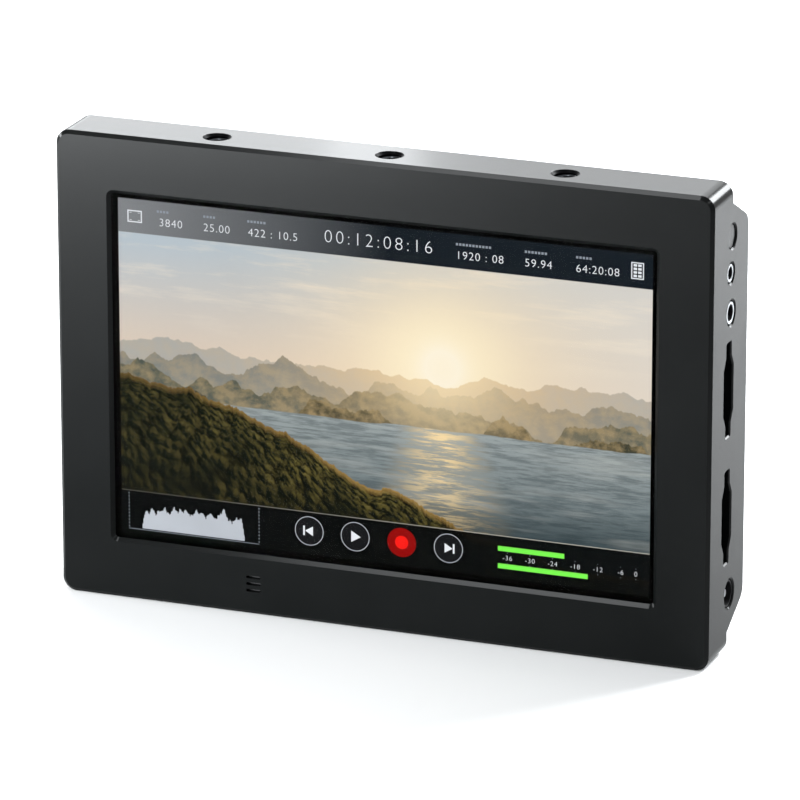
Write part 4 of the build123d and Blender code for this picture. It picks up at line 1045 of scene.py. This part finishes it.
TURNS, PITCH, THREAD_INSET = 6.0, 1.27, 1.3
top_foot = body_high.z / MM - THREAD_INSET - TURNS * PITCH
thread_feet = [(x, THREAD_Y, z) for x in (-THREAD_STEP, 0.0, THREAD_STEP) for z in (THREAD_INSET, top_foot)]
turn_values = {"Turns": TURNS, "Material": finishes["thread_metal"]}
grow("thread_turns", thread_feet, thread, "monitor", "body_metal", **turn_values)

# %% [markdown]
# ## Screw sockets
# The screws in the rear cover are driven by a six-sided key. A round plug with a six-sided hole, cut with a mesh
# boolean, fills each round recess of the solid and leaves the real shape of the socket.

# %% Screw sockets
socket_sizes = {"Outer Radius": 0.0009, "Key Radius": 0.0007, "Depth": 0.0006}
sockets, entry, leave = new_geometry_tree("screw_sockets", socket_sizes)
outer, inner, deep = (entry.outputs[label] for label in socket_sizes)
plug = sockets.add("GeometryNodeMeshCylinder", Vertices=32, Radius=outer, Depth=deep)
through = sockets.times(deep, 2.0)
key = sockets.add("GeometryNodeMeshCylinder", Vertices=6, Radius=inner, Depth=through)
cut = sockets.add("GeometryNodeMeshBoolean", {"operation": "DIFFERENCE"})
sockets.feed(cut.inputs[0], plug.outputs["Mesh"])
sockets.feed(cut.inputs[1], key.outputs["Mesh"])
facing = sockets.add("GeometryNodeTransform", Geometry=cut.outputs[0], Rotation=(math.pi / 2, 0.0, 0.0))
put_on_points(sockets, entry, leave, entry.outputs["Geometry"], facing.outputs[0])

SOCKET_IN = 0.35
screw_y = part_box("rear_cover_screws")[1].y / MM - SOCKET_IN
screw_places = [(70.0, 20.25), (70.0, 110.25), (82.9, 56.4)]
screw_places += [(-x, z) for x, z in screw_places] + [(0.0, 20.25), (0.0, 110.25)]
socket_values = {"Outer_Radius": 0.905 * MM, "Key_Radius": 0.76 * MM, "Depth": 0.6 * MM}
socket_values["Material"] = finishes["black_screws"]
screw_points = [(x, screw_y, z) for x, z in screw_places]
grow("screw_sockets", screw_points, sockets, "monitor", "black_screws", **socket_values)

# %% [markdown]
# ## Folded springs
# A latch that slides up presses its folded spring against the end of its well. Each spring is swapped for a copy
# with its loose triangles merged, flat shaded in spring steel and fixed to the body.

# %% Folded springs
for n in (1, 2):
    merged = bmesh.new()
    merged.from_mesh(frame["nodes"][f"latch_spring_{n}"].data)
    bmesh.ops.remove_doubles(merged, verts=merged.verts, dist=TOUCHING)
    for face in merged.faces:
        face.smooth = False
        face.material_index = 0
    mesh = bpy.data.meshes.new(f"folded_spring_{n}")
    merged.to_mesh(mesh)
    merged.free()
    mesh.materials.append(finishes["spring_steel"])
    spring = new_object(f"folded_spring_{n}", mesh)
    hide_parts(f"latch_spring_{n}")
    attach(spring, "monitor")
    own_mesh(spring)

# %% [markdown]
# ## The studio
# The monitor stands on a pale table in a white room. Dark coated paint shows what it mirrors more than its own
# colour, so each side of the body gets a soft lamp, or a pool of light on the table, at the place that it mirrors.
# Three lamps behind make the top gleam, from pale at the left to grey at the right. The pool behind at the right
# lights the right side, and a low lamp at the front left gives the front its slow gradient. Small lamps above and
# at the sides pick out the bevels.
# The room shows white to the camera, to gloss and to glass, and gives the object itself a third of that light.

# %% Lamps
def softbox(name, place, aim, width, height, power):
    data = bpy.data.lights.new(name, "AREA")
    data.shape = "RECTANGLE"
    data.size, data.size_y = width, height
    data.energy = power
    data.color = (0.95, 0.98, 1.0)
    lamp = new_object(name, data)
    lamp.location = place
    lamp.rotation_euler = (Vector(aim) - Vector(place)).to_track_quat("-Z", "Y").to_euler()
    lamp.visible_camera = False
    print(name, "gives", power, "W")


softbox("overhead_lamp", (0.0, 0.15, 1.2), (0.0, 0.0, 0.05), 1.3, 1.0, 3.6)
softbox("rear_left_lamp", (-0.66, 0.80, 0.41), (0.0, 0.0, 0.13), 0.72, 0.34, 5.9)
softbox("rear_middle_lamp", (-0.12, 0.84, 0.41), (0.0, 0.0, 0.13), 0.44, 0.34, 2.0)
softbox("rear_right_lamp", (0.38, 0.80, 0.43), (0.09, 0.0, 0.12), 0.28, 0.30, 8.0)
softbox("floor_pool_lamp", (0.30, 0.42, 0.45), (0.22, 0.30, 0.0), 0.25, 0.25, 13.0)
softbox("front_left_lamp", (-0.34, -0.51, 0.09), (-0.12, 0.0, 0.08), 0.34, 0.18, 15.5)
softbox("edge_lamp", (-0.24, -0.34, 1.0), (0.0, 0.0, 0.07), 0.26, 0.26, 4.0)
softbox("left_side_lamp", (-0.78, 0.02, 0.30), (-0.09, 0.0, 0.07), 0.16, 0.16, 3.0)
softbox("front_right_lamp", (0.62, -0.46, 0.68), (0.0, 0.0, 0.07), 0.14, 0.14, 2.2)

# %% The room
def seen_directly(tree):
    """1 where the camera, a reflection or glass looks, and 0 where light only falls on something."""
    rays = tree.add("ShaderNodeLightPath").outputs
    mirrored = tree.sum("MAXIMUM", rays["Is Glossy Ray"], rays["Is Transmission Ray"])
    return tree.sum("MAXIMUM", rays["Is Camera Ray"], mirrored)


world = bpy.data.worlds.new("white_room")
bpy.context.scene.world = world
world.use_nodes = True
world.node_tree.nodes.clear()
room = Tree(world.node_tree)
ON_THINGS, WHEN_SEEN = 0.35, 1.0
strength = room.fit(seen_directly(room), 0.0, 1.0, ON_THINGS, WHEN_SEEN)
background = room.add("ShaderNodeBackground", Color=(1.0, 1.0, 1.0, 1.0), Strength=strength)
room.add("ShaderNodeOutputWorld", Surface=background.outputs[0])
print("room is white")

# %% [markdown]
# The floor is a large plane of pale paint with a trace of grain. A light of its own, for the camera and reflections
# only, grows from 0.45 to 1.3 m off, so the far floor is white and the near floor keeps the soft shadow.

# %% Floor
floor_material, tree, shader = new_material("table_white", Roughness=0.85, Emission_Strength=1.0)
grained = use_group(tree, grain, Size=0.8 * MM, Patch=0.3)
tree.feed(shader["Base Color"], tree.mix(grained["Tone"], (190, 190, 190), (195, 195, 195)))
NEAR, FAR = 0.45, 1.30
far_off = tree.vector("LENGTH", tree.place())
own_light = tree.times(seen_directly(tree), tree.fit(far_off, NEAR, FAR, 0.05, 0.80))
tree.feed(shader["Emission Color"], tree.join(own_light, own_light, own_light))
FLOOR = 6.0
corners = [(-FLOOR, -FLOOR, 0.0), (FLOOR, -FLOOR, 0.0), (FLOOR, FLOOR, 0.0), (-FLOOR, FLOOR, 0.0)]
floor_mesh = bpy.data.meshes.new("studio_floor")
floor_mesh.from_pydata(corners, [], [(0, 1, 2, 3)])
floor_mesh.materials.append(floor_material)
floor = new_object("studio_floor", floor_mesh)
print("floor laid")
